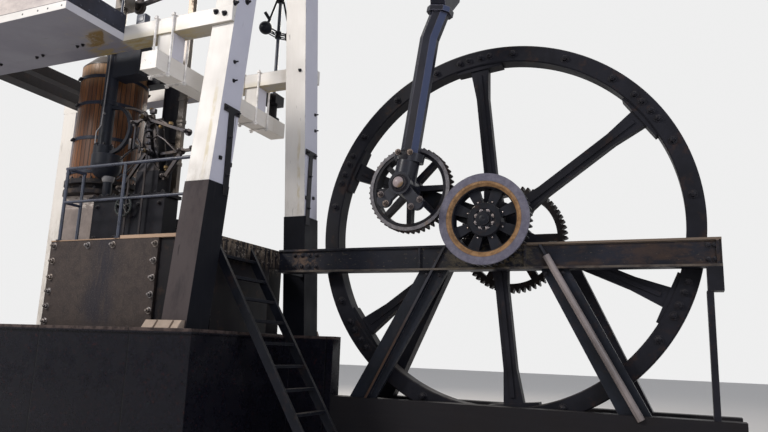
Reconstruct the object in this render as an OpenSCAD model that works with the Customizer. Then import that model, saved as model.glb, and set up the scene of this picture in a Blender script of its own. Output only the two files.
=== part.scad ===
// Sun and planet rotative beam engine, full size, millimetres.
// +X runs from the trestle to the flywheel, +Y away from the viewer, +Z up.
// The origin is on the ground under the trunnion of the beam.

/* [Layout] */
// distance from the trunnion to either end pin of the beam
beam_reach = 2740; // [2680:1:2900]
// reach of the beam on the cylinder side
left_reach = 2558; // [2540:1:2570]
// height of the flywheel shaft
shaft_z = 2505; // [2480:1:2700]
// height of the trunnion
trunnion_z = 6860; // [6700:1:7100]
// tilt of the beam, flywheel end up, at rest
beam_tilt = 8; // [4:0.1:12]
// distance between the centres of the two gears
gear_centres = 940; // [900:1:980]
// direction of the planet gear seen from the shaft, at rest
planet_angle = 156; // [120:1:180]

/* [Flywheel] */
// outer radius of the rim
rim_r = 2135; // [1900:1:2200]
// radial depth of the rim
rim_depth = 190; // [120:1:260]
// width of the rim along the shaft
rim_w = 200; // [170:1:240]
// front face of the rim
rim_y = 600; // [590:1:680]
// bevel on the edges of the rim
rim_bevel = 12; // [4:1:30]
// how far a pad stands inside the rim at each arm
rim_pad = 45; // [30:1:80]
// half length of a pad
pad_half = 270; // [160:1:300]
// width of an arm in the middle
arm_w = 140; // [100:1:200]
// width of an arm at its ends
arm_end_w = 210; // [150:1:280]
// length of the flare at each end of an arm
arm_flare = 350; // [200:1:500]
// thickness of an arm
arm_t = 110; // [60:1:150]
// height of the rib on each face of an arm
arm_rib = 18; // [8:1:20]
// direction of the first arm
arm_angle = 36; // [0:1:59]
// radius of the hub
hub_r = 300; // [220:1:380]
// diameter of the shaft
shaft_d = 200; // [140:1:230]
// rear end of the shaft
shaft_end_y = 1700; // [1600:1:1900]

/* [Gears] */
// number of teeth on the sun and on the planet
gear_teeth = 48; // [36:2:60]
// front face of the teeth
gear_y = 160; // [155:1:180]
// face width of the teeth
gear_w = 140; // [100:1:150]
// room between the flanks of two teeth
backlash = 2.4; // [1:0.1:5]
// how far the bright ring stands over the pitch circle of the sun
shroud_over = 20; // [10:1:30]
// width of the flat face of the bright ring
shroud_flat = 110; // [80:1:130]
// width of the bevel inside the bright ring
shroud_bevel = 39; // [20:1:50]
// front face of the bright ring
shroud_y = 120; // [115:1:130]
// thickness of the outer edge of the bright ring
shroud_t = 25; // [15:1:30]
// radial width of the lip in front of the planet gear
lip_w = 40; // [20:1:50]
// inner radius of the planet's rim
planet_open_r = 398; // [360:1:410]
// outer radius of the drive gear at the back
drive_r = 660; // [500:1:760]
// number of teeth on the drive gear
drive_teeth = 60; // [40:1:80]
// front face of the drive gear
drive_y = 1420; // [1380:1:1480]
// face width of the drive gear
drive_w = 120; // [60:1:180]
// running fit on the radius of each turning shaft
fit = 0.05; // [0.02:0.01:0.1]

/* [Connecting rod] */
// width of the rod
rod_w = 205; // [160:1:230]
// thickness of the rod along the shaft direction
rod_t = 190; // [140:1:200]
// width of the bevels along the rod
rod_bevel = 58; // [30:1:65]
// how far the rod stands out at its bend
rod_set = 58; // [20:1:90]
// height of the bend along the rod
rod_bend = 1690; // [1500:1:1750]
// diameter of the round foot of the rod
foot_d = 250; // [200:1:280]
// distance from the planet pin to the collar
collar_s = 265; // [220:1:300]
// height of the collar
collar_h = 90; // [60:1:120]
// diameter of the pin of the planet gear
planet_pin_d = 120; // [80:1:150]
// radius of the bright dome on the planet pin
dome_r = 82; // [60:1:95]
// length of the fork from its neck to the top pin
fork_len = 2380; // [2200:1:2600]
// half width of the gap in the fork
fork_in = 218; // [216:1:240]
// thickness of a fork arm
fork_t = 80; // [50:1:90]
// width of a fork arm
fork_w = 150; // [110:1:200]

/* [Beam] */
// depth of the beam in the middle
beam_depth = 660; // [500:1:700]
// depth of the beam at its ends
beam_end_depth = 460; // [340:1:480]
// width of the beam
beam_w = 420; // [360:1:430]
// how far the beam runs past its end pins
beam_past = 280; // [200:1:340]
// diameter of the trunnion
trunnion_d = 160; // [120:1:200]
// diameter of the end pins
end_pin_d = 120; // [90:1:150]
// length of the hanging links on the cylinder side
link_len = 560; // [450:1:640]
// half distance between the link bars
link_y = 250; // [230:1:280]
// diameter of the piston rod
piston_rod_d = 80; // [60:1:110]

/* [Trestle] */
// width of a post seen from the front
post_w = 300; // [240:1:330]
// depth of a post seen from the side
post_d = 330; // [280:1:350]
// flywheel side face of the posts
post_x = 165; // [140:1:180]
// outer face of the posts at the paint line
post_out = 1145; // [1120:1:1180]
// height of the paint line, top of the dark boots
boot_z = 2790; // [2600:1:3000]
// how far the boots stand proud of the posts
boot_proud = 8; // [4:1:12]
// lean of the posts
post_lean = 5.85; // [5:0.05:6.5]
// distance from the top of the posts to the trunnion
head_drop = 470; // [440:1:520]
// depth of the head beams
head_h = 270; // [200:1:300]
// half length of the head beams
head_half = 620; // [500:1:800]
// underside of the spring beams
spring_z = 4660; // [4600:1:4720]
// depth of the spring beams
spring_h = 190; // [160:1:240]
// front face of the front spring beam, from the centre plane
spring_out = 1000; // [990:1:1030]
// width of the spring beams
spring_w = 250; // [200:1:280]
// far end of the spring beams and of the plinth
far_x = 4400; // [4250:1:4600]
// side of an end post
end_post_w = 260; // [200:1:300]
// cylinder side face of the cross beam
cross_x = -900; // [-940:1:-860]
// width of the cross beam
cross_w = 230; // [200:1:260]
// half length of the cross beam
cross_half = 1200; // [1150:1:1260]
// depth of the cross beam
cross_h = 220; // [180:1:240]
// height of the spacer blocks between cross beam and spring beams
spacer_h = 310; // [250:1:360]
// diameter of the tie rods
tie_d = 28; // [20:1:36]

/* [Platform] */
// flywheel side edge of the platform
deck_x = -1420; // [-1480:1:-1380]
// front edge of the platform, from the centre plane
deck_out = 1850; // [1700:1:1950]
// thickness of the platform
deck_t = 95; // [70:1:120]
// height of the steel channel on the platform edge
channel_h = 240; // [180:1:300]
// height of the joists between the spring beams
joist_h = 150; // [100:1:180]

/* [Cylinder] */
// radius of the wooden lagging
lagging_r = 440; // [420:1:445]
// underside of the lagging
lagging_z = 3160; // [3100:1:3200]
// height of the lagging
lagging_h = 1600; // [1560:1:1620]
// height of the iron flange under the lagging
base_flange_h = 190; // [120:1:220]
// thickness of a hoop
hoop_t = 7; // [4:1:12]
// height of a hoop
hoop_h = 45; // [30:1:60]
// diameter of the main steam pipe
steam_d = 170; // [150:1:180]
// height of the top of the main steam pipe
steam_top = 4980; // [4900:1:5100]
// radius of the bowl under the steam pipe
bowl_r = 188; // [160:1:190]
// diameter of the second pipe
riser_d = 230; // [180:1:240]
// diameter of the air pump
pump_d = 430; // [360:1:440]
// height of the top of the air pump
pump_top = 2620; // [2500:1:2800]

/* [Cistern and plinth] */
// height of the plinth
plinth_h = 1250; // [1150:1:1280]
// flywheel side end of the plinth
plinth_x = 340; // [300:1:380]
// half depth of the plinth
plinth_half = 1420; // [1410:1:1500]
// height of the top of the cistern
cistern_top = 2250; // [2200:1:2300]
// cylinder side end of the cistern
cistern_x0 = -2300; // [-2300:1:-2280]
// flywheel side end of the cistern
cistern_x1 = -300; // [-340:1:-260]
// front face of the cistern, from the centre plane
cistern_out = 870; // [850:1:880]
// thickness of the cistern's walls
wall_t = 25; // [12:1:40]
// thickness of the bolted front plate
plate_t = 30; // [15:1:40]
// thickness of the boards on the cistern
board_t = 40; // [25:1:60]
// height of the handrail over the cistern
rail_h = 900; // [800:1:1050]
// diameter of the handrail
rail_d = 40; // [30:1:50]

/* [Stair] */
// foot of the stair on the ground
stair_foot_x = 1430; // [1390:1:1470]
// head of the stair at the landing
stair_head_x = 20; // [-20:1:50]
// front stringer of the stair, from the centre plane
stair_out = 850; // [830:1:855]
// back stringer of the stair, from the centre plane
stair_in = 225; // [200:1:260]
// number of treads
stair_treads = 9; // [7:1:11]

/* [Flywheel frame] */
// height of the top of the bearer
bearer_top = 2277; // [2260:1:2290]
// depth of the bearer
bearer_h = 277; // [240:1:300]
// thickness of the flanges along the bearer
flange_t = 24; // [15:1:40]
// far end of the bearer
bearer_x1 = 4980; // [4960:1:5050]
// height of the top of the sole beams
sole_h = 590; // [500:1:640]
// front face of the rear sole beam
rear_y = 1000; // [980:1:1040]
// depth of the rear sole beam
rear_w = 150; // [120:1:180]
// level width of the left strut at its head
strut_w = 330; // [300:1:360]
// level width of the right strut
right_strut_w = 285; // [260:1:320]

/* [Governor] */
// distance of the governor from the trunnion, towards the cylinder
gov_x = -800; // [-840:1:-760]
// distance of the governor behind the centre plane
gov_y = 1350; // [1300:1:1400]
// underside of the governor's spindle
gov_z = 4750; // [4700:1:4800]
// top of the governor's spindle
gov_top = 6400; // [6200:1:6500]
// radius of a governor ball
ball_r = 90; // [70:1:95]

/* [Hidden] */
$fn = 64;
shaft_x = beam_reach;
pin_x = shaft_x + gear_centres * cos(planet_angle);
pin_z = shaft_z + gear_centres * sin(planet_angle);
top_x = beam_reach * cos(beam_tilt);
top_z = trunnion_z + beam_reach * sin(beam_tilt);
rod_len = norm([top_x - pin_x, top_z - pin_z]);
rod_lean = atan2(top_x - pin_x, top_z - pin_z);
gear_r = gear_centres / 2;
shroud_r = gear_r + shroud_over;
bevel_r = shroud_r - shroud_flat;
sun_open_r = bevel_r - shroud_bevel;
orbit_y = gear_y + gear_w + 8;
orbit_t = 54;
bearer_y = orbit_y + orbit_t + 10;
bearer_w = rim_y - 40 - bearer_y;
pad_r = rim_r - rim_depth - rim_pad;
post_top = trunnion_z - head_drop;
left_x = -left_reach * cos(beam_tilt);
left_z = trunnion_z - left_reach * sin(beam_tilt);
mid_x = left_x / 2;
mid_z = (trunnion_z + left_z) / 2;
cyl_top = lagging_z + lagging_h;
spring_top = spring_z + spring_h;
spring_in = spring_out - spring_w;
cross_top = spring_z - spacer_h;
steam_off = lagging_r + steam_d / 2 + 65;
steam_turn = 48;
steam_x = left_x + steam_off * cos(steam_turn);
steam_y = -steam_off * sin(steam_turn);
riser_x = -1713;
riser_y = 250;
pier_x = 912;
seat = 0.3;
function outer(z) = post_out - (z - boot_z) * tan(post_lean);

// a plain box given by its six faces
module block(x0, x1, y0, y1, z0, z1) {
  translate([x0, y0, z0]) cube([x1 - x0, y1 - y0, z1 - z0]);
}

// a flat shape drawn in X and Z, given thickness along Y
module plate(y0, y1) {
  translate([0, y1, 0]) rotate([90, 0, 0]) linear_extrude(height = y1 - y0) children();
}

// a flat shape drawn in Y and Z, given thickness along X
module plate_x(x0, x1) {
  translate([x0, 0, 0]) rotate([90, 0, 90]) linear_extrude(height = x1 - x0) children();
}

// a round bar along Y
module bar_y(x, z, y0, y1, d) {
  translate([x, y0, z]) rotate([-90, 0, 0]) cylinder(h = y1 - y0, d = d);
}

// a round bar along X
module bar_x(y, z, x0, x1, d) {
  translate([x0, y, z]) rotate([0, 90, 0]) cylinder(h = x1 - x0, d = d);
}

// a round bar along Z
module bar_z(x, y, z0, z1, d) {
  translate([x, y, z0]) cylinder(h = z1 - z0, d = d);
}

// a round bar between two points
module bar(p, q, d) {
  v = q - p;
  translate(p) rotate([0, acos(v[2] / norm(v)), atan2(v[1], v[0])]) cylinder(h = norm(v), d = d);
}

// a flat bar between two points of the X Z plane
module flat(x0, z0, x1, z1, w, y0, y1) {
  len = norm([x1 - x0, z1 - z0]);
  translate([x0, 0, z0]) rotate([0, -atan2(z1 - z0, x1 - x0), 0]) block(0, len, y0, y1, -w / 2, w / 2);
}

// a flat link with round eyes, between two points of the X Z plane
module link(x0, z0, x1, z1, w, eye, y0, y1) {
  len = norm([x1 - x0, z1 - z0]);
  plate(y0, y1) {
    translate([x0, z0]) circle(d = eye);
    translate([x1, z1]) circle(d = eye);
    translate([x0, z0]) rotate(atan2(z1 - z0, x1 - x0)) translate([0, -w / 2]) square([len, w]);
  }
}

// the same on both sides of the centre plane
module both_sides() {
  children();
  mirror([0, 1, 0]) children();
}

// a shape turned about the Y axis, drawn as radius and distance along Y
module turned(x, z) {
  translate([x, 0, z]) rotate([-90, 0, 0]) rotate_extrude($fn = 128) children();
}

function inv(a) = tan(a) * 180 / PI - a;
function tooth_half(r, pitch_r, n, play) =
  90 / n - play / (4 * pitch_r) * 180 / PI + inv(20) - inv(acos(pitch_r * cos(20) / r));

// outline of a gear with involute teeth, one tooth centred on the given direction
module gear_outline(pitch_r, n, turn, play) {
  m = 2 * pitch_r / n;
  root_r = max(pitch_r - 1.25 * m, pitch_r * cos(20) + 0.01);
  tip_r = pitch_r + m;
  polygon([for (i = [0:n - 1]) for (k = [0:9])
    let (s = k < 5 ? k : 9 - k,
      r = root_r + (tip_r - root_r) * s / 4,
      a = turn + i * 360 / n + (k < 5 ? -1 : 1) * tooth_half(r, pitch_r, n, play))
    [r * cos(a), r * sin(a)]]);
}

// a flat ring
module ring(r1, r2) {
  difference() {
    circle(r = r1, $fn = 128);
    circle(r = r2, $fn = 128);
  }
}

// Plinth and cistern

module plinth() {
  rim = 50;
  proud = 20;
  color("#3a312a") {
    block(-far_x, plinth_x, -plinth_half, plinth_half, 0, plinth_h - rim);
    block(-far_x, plinth_x + proud, -plinth_half - proud, plinth_half, plinth_h - rim, plinth_h);
    block(plinth_x, pier_x, bearer_y, bearer_y1, 0, plinth_h);
  }
}

cistern_back = 1080;
cistern_lip = 60;
module cistern() {
  color("#2c2a29") {
    difference() {
      block(cistern_x0, cistern_x1, -cistern_out, cistern_back, plinth_h, cistern_top);
      block(cistern_x0 + wall_t, cistern_x1 - wall_t, -cistern_out + wall_t, cistern_back - wall_t,
        plinth_h + wall_t, cistern_top + 1);
    }
    for (z = [plinth_h, cistern_top - wall_t])
      block(cistern_x1, cistern_x1 + cistern_lip, -cistern_out, cistern_back, z, z + wall_t);
  }
}

module cistern_front_plate() {
  plate_x1 = cistern_x1 - 350;
  color("#4a4541") block(cistern_x0, plate_x1, -cistern_out - plate_t, -cistern_out, plinth_h, cistern_top);
}

cover_t = 12;
board_in = 640;
board_x0 = -1215;
module cistern_boards() {
  color("#8a6a4a") {
    block(board_x0, cistern_x1, -cistern_out - plate_t - 5, -board_in,
      cistern_top, cistern_top + board_t);
    block(cistern_x0, board_x0 - 10, -cistern_out - plate_t - 5, -board_in + 40,
      cistern_top, cistern_top + cover_t);
    block(cistern_x0, cistern_x1, board_in, cistern_back + 30, cistern_top, cistern_top + board_t);
  }
}

tank_x0 = -230;
tank_x1 = 100;
tank_back = 190;
tank_top = cistern_top + 12;
module end_tank() {
  front = 850;
  band_h = 222;
  band_t = 60;
  color("#26231f") {
    difference() {
      block(tank_x0, tank_x1, -front, tank_back, plinth_h, tank_top);
      block(tank_x0 + wall_t, tank_x1 - wall_t, -front + wall_t, tank_back - wall_t,
        plinth_h + wall_t, tank_top + 1);
    }
    block(tank_x1 - band_t, tank_x1, tank_back, bearer_y1, tank_top - band_h, tank_top);
  }
}

// Trestle

// side view of a post between two heights, drawn in Y and Z
module post_shape(z0, z1, extra) {
  polygon([[-outer(z0) - extra, z0], [-outer(z1) - extra, z1],
    [-outer(z1) + post_d + extra, z1], [-outer(z0) + post_d + extra, z0]]);
}

module front_post() {
  color("#e8e6df") plate_x(post_x - post_w, post_x) post_shape(boot_z, post_top, 0);
}

module back_post() {
  mirror([0, 1, 0]) front_post();
}

module post_boots() {
  color("#2e2c2b") both_sides()
    plate_x(post_x - post_w - boot_proud, post_x + boot_proud) post_shape(plinth_h, boot_z, boot_proud);
}

foot_h = 80;
module post_feet() {
  reach = 100;
  slot = 26;
  z1 = plinth_h + foot_h;
  color("#cfc4ac") both_sides() difference() {
    plate_x(post_x - post_w - 160, post_x - 10) polygon([
      [-outer(plinth_h) - boot_proud - reach, plinth_h], [-outer(plinth_h) - boot_proud - seat, plinth_h],
      [-outer(z1) - boot_proud - seat, z1], [-outer(z1) - boot_proud - reach / 2, z1]]);
    for (x = [post_x - post_w - 20, post_x - 120])
      block(x, x + slot, -plinth_half, -outer(plinth_h) - boot_proud - reach / 3, plinth_h, z1);
  }
}

strap_t = 10;
module post_straps() {
  head_z = 3600;
  head_h = 75;
  head_y = -1010;
  head_len = 275;
  arm_z = 2680;
  arm_y = -920;
  bar = 90;
  color("#1b1a1a") both_sides() plate_x(post_x + boot_proud, post_x + boot_proud + strap_t) union() {
    translate([head_y, head_z]) square([head_len, head_h]);
    translate([arm_y, arm_z]) square([bar, head_z - arm_z]);
  }
  color("#1b1a1a") both_sides() plate_x(post_x, post_x + boot_proud)
    translate([head_y + 10, head_z + 10]) square([head_len - 20, head_h - 20]);
}

module head_beams() {
  side = 10;
  color("#e4e2da") both_sides() block(-head_half, head_half, -outer(post_top) - side,
    -outer(post_top) + post_d + side, post_top, post_top + head_h);
}

module trunnion_bearings() {
  y1 = -outer(post_top) + post_d - 160;
  y0 = y1 - 180;
  foot = 60;
  z0 = post_top + head_h;
  color("#2a2929") both_sides() difference() {
    union() {
      block(-290, 290, y0 - 10, y1 + 10, z0, z0 + foot);
      plate(y0, y1) {
        polygon([[-190, z0 + foot], [190, z0 + foot], [trunnion_d, trunnion_z], [-trunnion_d, trunnion_z]]);
        translate([0, trunnion_z]) circle(r = trunnion_d);
      }
    }
    bar_y(0, trunnion_z, y0 - 50, y1 + 50, trunnion_d + 2 * fit);
  }
}

module trunnion() {
  color("#3b3a3a") bar_y(0, trunnion_z, -outer(post_top) - 20, outer(post_top) + 20, trunnion_d);
}

module spring_beams() {
  post_x0 = post_x - post_w;
  color("#e8e6df") both_sides() {
    block(-far_x, post_x0, -spring_out, -spring_in, spring_z, spring_top);
    plate_x(post_x0, post_x) polygon([[-spring_out, spring_z], [-outer(spring_z) - seat, spring_z],
      [-outer(spring_top) - seat, spring_top], [-spring_out, spring_top]]);
  }
}

module end_posts() {
  color("#e8e6df") both_sides()
    block(-far_x + 20, -far_x + 20 + end_post_w, -spring_out, -spring_in, plinth_h, spring_z);
}

module cross_beam() {
  color("#e8e6df")
    block(cross_x, cross_x + cross_w, -cross_half, cross_half, cross_top - cross_h, cross_top);
}

module spacer_blocks() {
  inset = 28;
  color("#dcd9d0") both_sides()
    block(cross_x, cross_x + cross_w, -spring_out + inset, -spring_in - inset, cross_top, spring_z);
}

module tie_rods() {
  plate_h = 14;
  nut = 46;
  x0 = cross_x - tie_d / 2;
  x1 = cross_x + cross_w + tie_d / 2;
  y0 = -spring_out - tie_d / 2;
  y1 = -spring_in + tie_d / 2;
  low = cross_top - cross_h;
  color("#e2dfd6") both_sides() {
    for (x = [x0, x1]) {
      block(x - nut / 2, x + nut / 2, y0 - nut / 2, y1 + nut / 2, spring_top, spring_top + plate_h);
      for (y = [y0, y1]) {
        bar_z(x, y, low - plate_h - 26, spring_top + plate_h + 26, tie_d);
        translate([x, y, spring_top + plate_h]) cylinder(h = 22, d = nut, $fn = 6);
        translate([x, y, low - plate_h - 22]) cylinder(h = 22, d = nut, $fn = 6);
      }
    }
    for (y = [y0, y1]) block(x0 - nut / 2, x1 + nut / 2, y - nut / 2, y + nut / 2, low - plate_h, low);
  }
}

// Platform beside the trestle

deck_top = spring_z + deck_t;
module platform() {
  stand = 45;
  color("#e6e4dc") {
    block(-far_x, deck_x, -deck_out, -spring_out, spring_z, deck_top);
    block(-far_x, deck_x - stand, -deck_out, -deck_out + stand, deck_top, deck_top + channel_h);
  }
}

module deck_channel() {
  web = 14;
  lip = 45;
  color("#4b4f58") {
    plate(-deck_out, -spring_out) {
      translate([deck_x - web, deck_top]) square([web, channel_h]);
      translate([deck_x - lip, deck_top]) square([lip, web]);
      translate([deck_x - lip, deck_top + channel_h - web]) square([lip, web]);
    }
  }
}

module floor_joists() {
  wide = [-4040, -3790];
  narrow = [-3460, -3310];
  color("#3a3e48") for (x = [wide, narrow])
    block(x[0], x[1], -spring_in, spring_in, spring_z, spring_z + joist_h);
}

// Beam and motion

// outline of the beam drawn level about the trunnion
module beam_shape() {
  end = beam_reach + beam_past;
  left_end = left_reach + beam_past;
  half = beam_reach / 2;
  polygon([[-left_end, -beam_end_depth / 2], [-half, -beam_depth / 2], [half, -beam_depth / 2],
    [end, -beam_end_depth / 2], [end, beam_end_depth / 2], [half, beam_depth / 2],
    [-half, beam_depth / 2], [-left_end, beam_end_depth / 2]]);
}

module tilted() {
  translate([0, 0, trunnion_z]) rotate([0, -beam_tilt, 0]) children();
}

module beam() {
  half = beam_w / 2;
  color("#54402f") tilted() difference() {
    plate(-half, half) beam_shape();
    bar_y(0, 0, -half - 1, half + 1, trunnion_d + 2 * fit);
    for (x = [-left_reach, beam_reach, -left_reach / 2])
      bar_y(x, 0, -half - 1, half + 1, end_pin_d + 2 * fit);
  }
}

module beam_straps() {
  half = beam_w / 2;
  side = 18;
  color("#232221") tilted() {
    bar_y(beam_reach, 0, -half, half, end_pin_d);
    for (s = [0, 1]) mirror([0, 0, s])
      block(-260, 260, -half - side, half + side, beam_depth / 2, beam_depth / 2 + 40);
    for (x = [beam_reach + beam_past, -left_reach - beam_past - side])
      block(x, x + side, -half, half, -beam_end_depth / 2, beam_end_depth / 2);
  }
}

plug_x = -1030;
plug_y = -300;
plug_z = trunnion_z + plug_x * tan(beam_tilt);
plug_pin_d = 60;
module motion_links() {
  y0 = link_y;
  y1 = link_y + 50;
  low_pin = 110;
  color("#8c8a86") {
    for (p = [[left_x, left_z], [mid_x, mid_z]]) bar_y(p[0], p[1], -y1 - 20, y1 + 20, end_pin_d);
    for (p = [[left_x, left_z], [mid_x, mid_z]]) bar_y(p[0], p[1] - link_len, -y1 - 20, y1 + 20, low_pin);
    both_sides() {
      link(left_x, left_z, left_x, left_z - link_len, 90, 200, -y1, -y0);
      link(mid_x, mid_z, mid_x, mid_z - link_len, 90, 200, -y1, -y0);
      link(left_x, left_z - link_len, mid_x, mid_z - link_len, 60, 180, -y0, -y0 + 40);
    }
    bar_y(plug_x, plug_z, plug_y - 45, -beam_w / 2, plug_pin_d);
  }
}

module piston_rod() {
  head = 180;
  z1 = left_z - link_len;
  color("#b9b6b0") difference() {
    union() {
      bar_z(left_x, 0, cyl_top + cover_h + stuffing_h, z1, piston_rod_d);
      block(left_x - head / 2, left_x + head / 2, -head / 2, head / 2, z1 - head, z1 + head / 2);
    }
    bar_y(left_x, z1, -head, head, 110 + 2 * fit);
  }
}

module pump_rods() {
  head = 150;
  z1 = mid_z - link_len;
  color("#8f8a80") {
    difference() {
      union() {
        bar_z(mid_x, 0, pump_top, z1, 60);
        block(mid_x - head / 2, mid_x + head / 2, -head / 2, head / 2, z1 - head, z1 + head / 2);
      }
      bar_y(mid_x, z1, -head, head, 110 + 2 * fit);
    }
    difference() {
      union() {
        block(plug_x - 40, plug_x + 40, plug_y - 30, plug_y + 30, cistern_top + 650, plug_z);
        plate(plug_y - 30, plug_y + 30) translate([plug_x, plug_z]) circle(d = 150);
        bar_z(plug_x, plug_y, plinth_h + wall_t, cistern_top + 650, 46);
        bar_z(plug_x, plug_y, cistern_top + 230, cistern_top + 520, 80);
      }
      bar_y(plug_x, plug_z, plug_y - 100, plug_y + 100, plug_pin_d + 2 * fit);
    }
  }
}

// Cylinder

module cylinder_base() {
  rim = 60;
  half = 330;
  wide = lagging_r + 50;
  z0 = lagging_z - base_flange_h;
  color("#2b2928") translate([left_x, 0, 0]) {
    translate([0, 0, lagging_z - rim]) cylinder(h = rim, r = wide);
    translate([0, 0, z0 + rim]) cylinder(h = base_flange_h - 2 * rim, r = lagging_r - 20);
    translate([0, 0, z0]) cylinder(h = rim, r = wide);
    block(-half, cistern_x0 - left_x - 3, -half, half, plinth_h, z0);
  }
}

module cylinder_lagging() {
  color("#7a4f2c") translate([left_x, 0, lagging_z]) cylinder(h = lagging_h, r = lagging_r, $fn = 128);
}

hoop_at = [0.051, 0.339, 0.643, 0.877];
module cylinder_hoops() {
  color("#2a2622") for (share = hoop_at)
    translate([left_x, 0, lagging_z + lagging_h * share]) linear_extrude(height = hoop_h)
      ring(lagging_r + hoop_t, lagging_r);
}

cover_h = 170;
stuffing_h = 90;
stuffing_r = 130;
module cylinder_cover() {
  flange = 20;
  neck_r = 300;
  gland = 40;
  color("#3b3735") translate([left_x, 0, cyl_top]) {
    difference() {
      rotate_extrude($fn = 128) polygon([[0, 0], [lagging_r, 0], [lagging_r, flange],
        [neck_r, cover_h], [stuffing_r, cover_h], [stuffing_r, cover_h + stuffing_h - gland],
        [stuffing_r + 35, cover_h + stuffing_h - gland], [stuffing_r + 35, cover_h + stuffing_h],
        [0, cover_h + stuffing_h]]);
      translate([0, 0, cover_h + stuffing_h - 1]) cylinder(h = 2, d = piston_rod_d);
    }
  }
}

// a round-ended handle in X and Z, open towards the pipe
module handle_ring(r, w, stub) {
  intersection() {
    ring(r + w / 2, r - w / 2);
    translate([0, -r - w]) square([r + w, 2 * (r + w)]);
  }
  for (z = [-r, r]) translate([-stub, z - w / 2]) square([stub + 1, w]);
}

chest_top = cistern_top + 590;
module steam_pipe() {
  flange_z = cistern_top + 1175;
  joint_h = 135;
  joint_r = steam_d / 2 + 40;
  flange_h = 60;
  flange_r = steam_d / 2 + 16;
  bowl_x = steam_x + 80;
  bowl_z = flange_z - 125;
  drain_x = bowl_x + 60;
  drain_d = 110;
  handle_r = 305;
  handle_z = bowl_z + 473;
  bar_w = 44;
  box_z = 4480;
  color("#1c1b1b") {
    bar_z(steam_x, steam_y, flange_z, steam_top, steam_d);
    bar_z(steam_x, steam_y, flange_z, flange_z + joint_h, 2 * joint_r);
    for (z = [flange_z + 690, steam_top - flange_h]) bar_z(steam_x, steam_y, z, z + flange_h, 2 * flange_r);
    translate([bowl_x, steam_y, 0]) rotate_extrude($fn = 96) intersection() {
      union() {
        translate([0, bowl_z]) circle(r = bowl_r, $fn = 96);
        translate([0, bowl_z]) square([bowl_r, flange_z - bowl_z]);
      }
      translate([0, bowl_z - bowl_r - 10]) square([bowl_r + 10, flange_z - bowl_z + bowl_r + 10]);
    }
    bar_z(drain_x, steam_y, chest_top, bowl_z - bowl_r + 60, drain_d);
    block(steam_x + 60, steam_x + 500, steam_y - 60, steam_y + 170, box_z, steam_top - flange_h);
    plate(steam_y - bar_w / 2, steam_y + bar_w / 2)
      translate([steam_x + steam_d / 2 + 25, handle_z]) handle_ring(handle_r, bar_w, 50);
  }
}

gear_box_top = cistern_top + 890;
module nozzle_chests() {
  x0 = -2020;
  x1 = plug_x + 130;
  y0 = -600;
  y1 = plug_y - 65;
  lid = 40;
  z1 = chest_top - lid;
  riser_box = 130;
  duct_w = 180;
  color("#1f1e1e") {
    block(x0, x1, y0, y1, plinth_h + wall_t, z1);
    block(x0 - lid, x1 + lid, y0 - lid, y1 + 10, z1, chest_top);
    block(-1404, -1059, y0 + 30, y1 - 25, chest_top, gear_box_top);
    bar_z(riser_x, riser_y, plinth_h + wall_t, spring_z - 60, riser_d);
    block(riser_x - riser_box, riser_x + riser_box, riser_y - riser_box, riser_y + riser_box,
      spring_z - 60, spring_z + duct_w);
    for (z = [cistern_top + 700, cistern_top + 1500]) bar_z(riser_x, riser_y, z, z + 60, riser_d + 70);
    translate([0, 0, spring_z - 30]) linear_extrude(height = duct_w) difference() {
      translate([left_x, riser_y - duct_w / 2]) square([riser_x - left_x - riser_box + 30, duct_w]);
      translate([left_x, 0]) circle(r = lagging_r + hoop_t + seat, $fn = 128);
    }
  }
}

module valve_levers() {
  high = [-1290, 3790];
  low = [-1190, 3350];
  rod_y = -655;
  stand_t = 22;
  arbor_d = 50;
  rod_d = 28;
  w = 34;
  eye = 84;
  color("#8d867b") {
    for (y = [-565, -420]) plate(y, y + stand_t)
      polygon([[-1390, gear_box_top], [-1075, gear_box_top], [low[0] + 60, low[1] + 60],
        [high[0] + 60, high[1] + 70], [high[0] - 60, high[1] + 70]]);
    for (p = [high, low]) bar_y(p[0], p[1], rod_y - 30, -385, arbor_d);
    link(high[0], high[1], -616, 3546, w, eye, -640, -610);
    link(high[0], high[1], -1422, 3729, w, eye, rod_y - 15, rod_y + 15);
    link(high[0], high[1], low[0], low[1], w, eye, -605, -580);
    link(low[0], low[1], -596, 3372, w, eye, -530, -500);
    link(-783, 3362, -1006, 3062, w + 14, eye, -530, -500);
    link(low[0], low[1], -1530, 2912, w, eye, rod_y - 15, rod_y + 15);
    bar_z(-1415, rod_y, 3404, 3729, rod_d);
    bar_z(low[0], rod_y, cistern_top + board_t, low[1], rod_d);
    bar_z(-1430, rod_y, cistern_top + cover_t, 3045, rod_d);
  }
}

module air_pump() {
  lid = 50;
  color("#2b2928") {
    bar_z(mid_x, 0, plinth_h + wall_t, pump_top - lid, pump_d - 60);
    bar_z(mid_x, 0, pump_top - 2 * lid, pump_top, pump_d);
    bar_z(mid_x, 0, plinth_h + wall_t, plinth_h + wall_t + lid, pump_d);
  }
}

// Handrail and stair

module handrail() {
  y = -cistern_out - plate_t / 2;
  x0 = -2190;
  back = -board_in;
  z0 = cistern_top + cover_t;
  top = cistern_top + rail_h;
  mid = cistern_top + 480;
  post_x0 = post_x - post_w;
  color("#3a4048") {
    bar_z(x0, y, z0, top, rail_d);
    bar_z(x0, back, z0, top, rail_d);
    bar_z(-1270, y, z0, top, rail_d);
    bar_x(y, top, x0 - rail_d / 2, post_x0, rail_d);
    bar_x(y, mid, x0, post_x0 - boot_proud, rail_d - 6);
    bar_y(x0, top, y, back + rail_d / 2, rail_d);
    bar_y(x0, mid, y, back, rail_d - 6);
    for (p = [[x0, y], [x0, back], [-1270, y]]) bar_z(p[0], p[1], z0, z0 + 10, 2 * rail_d);
  }
}

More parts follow.
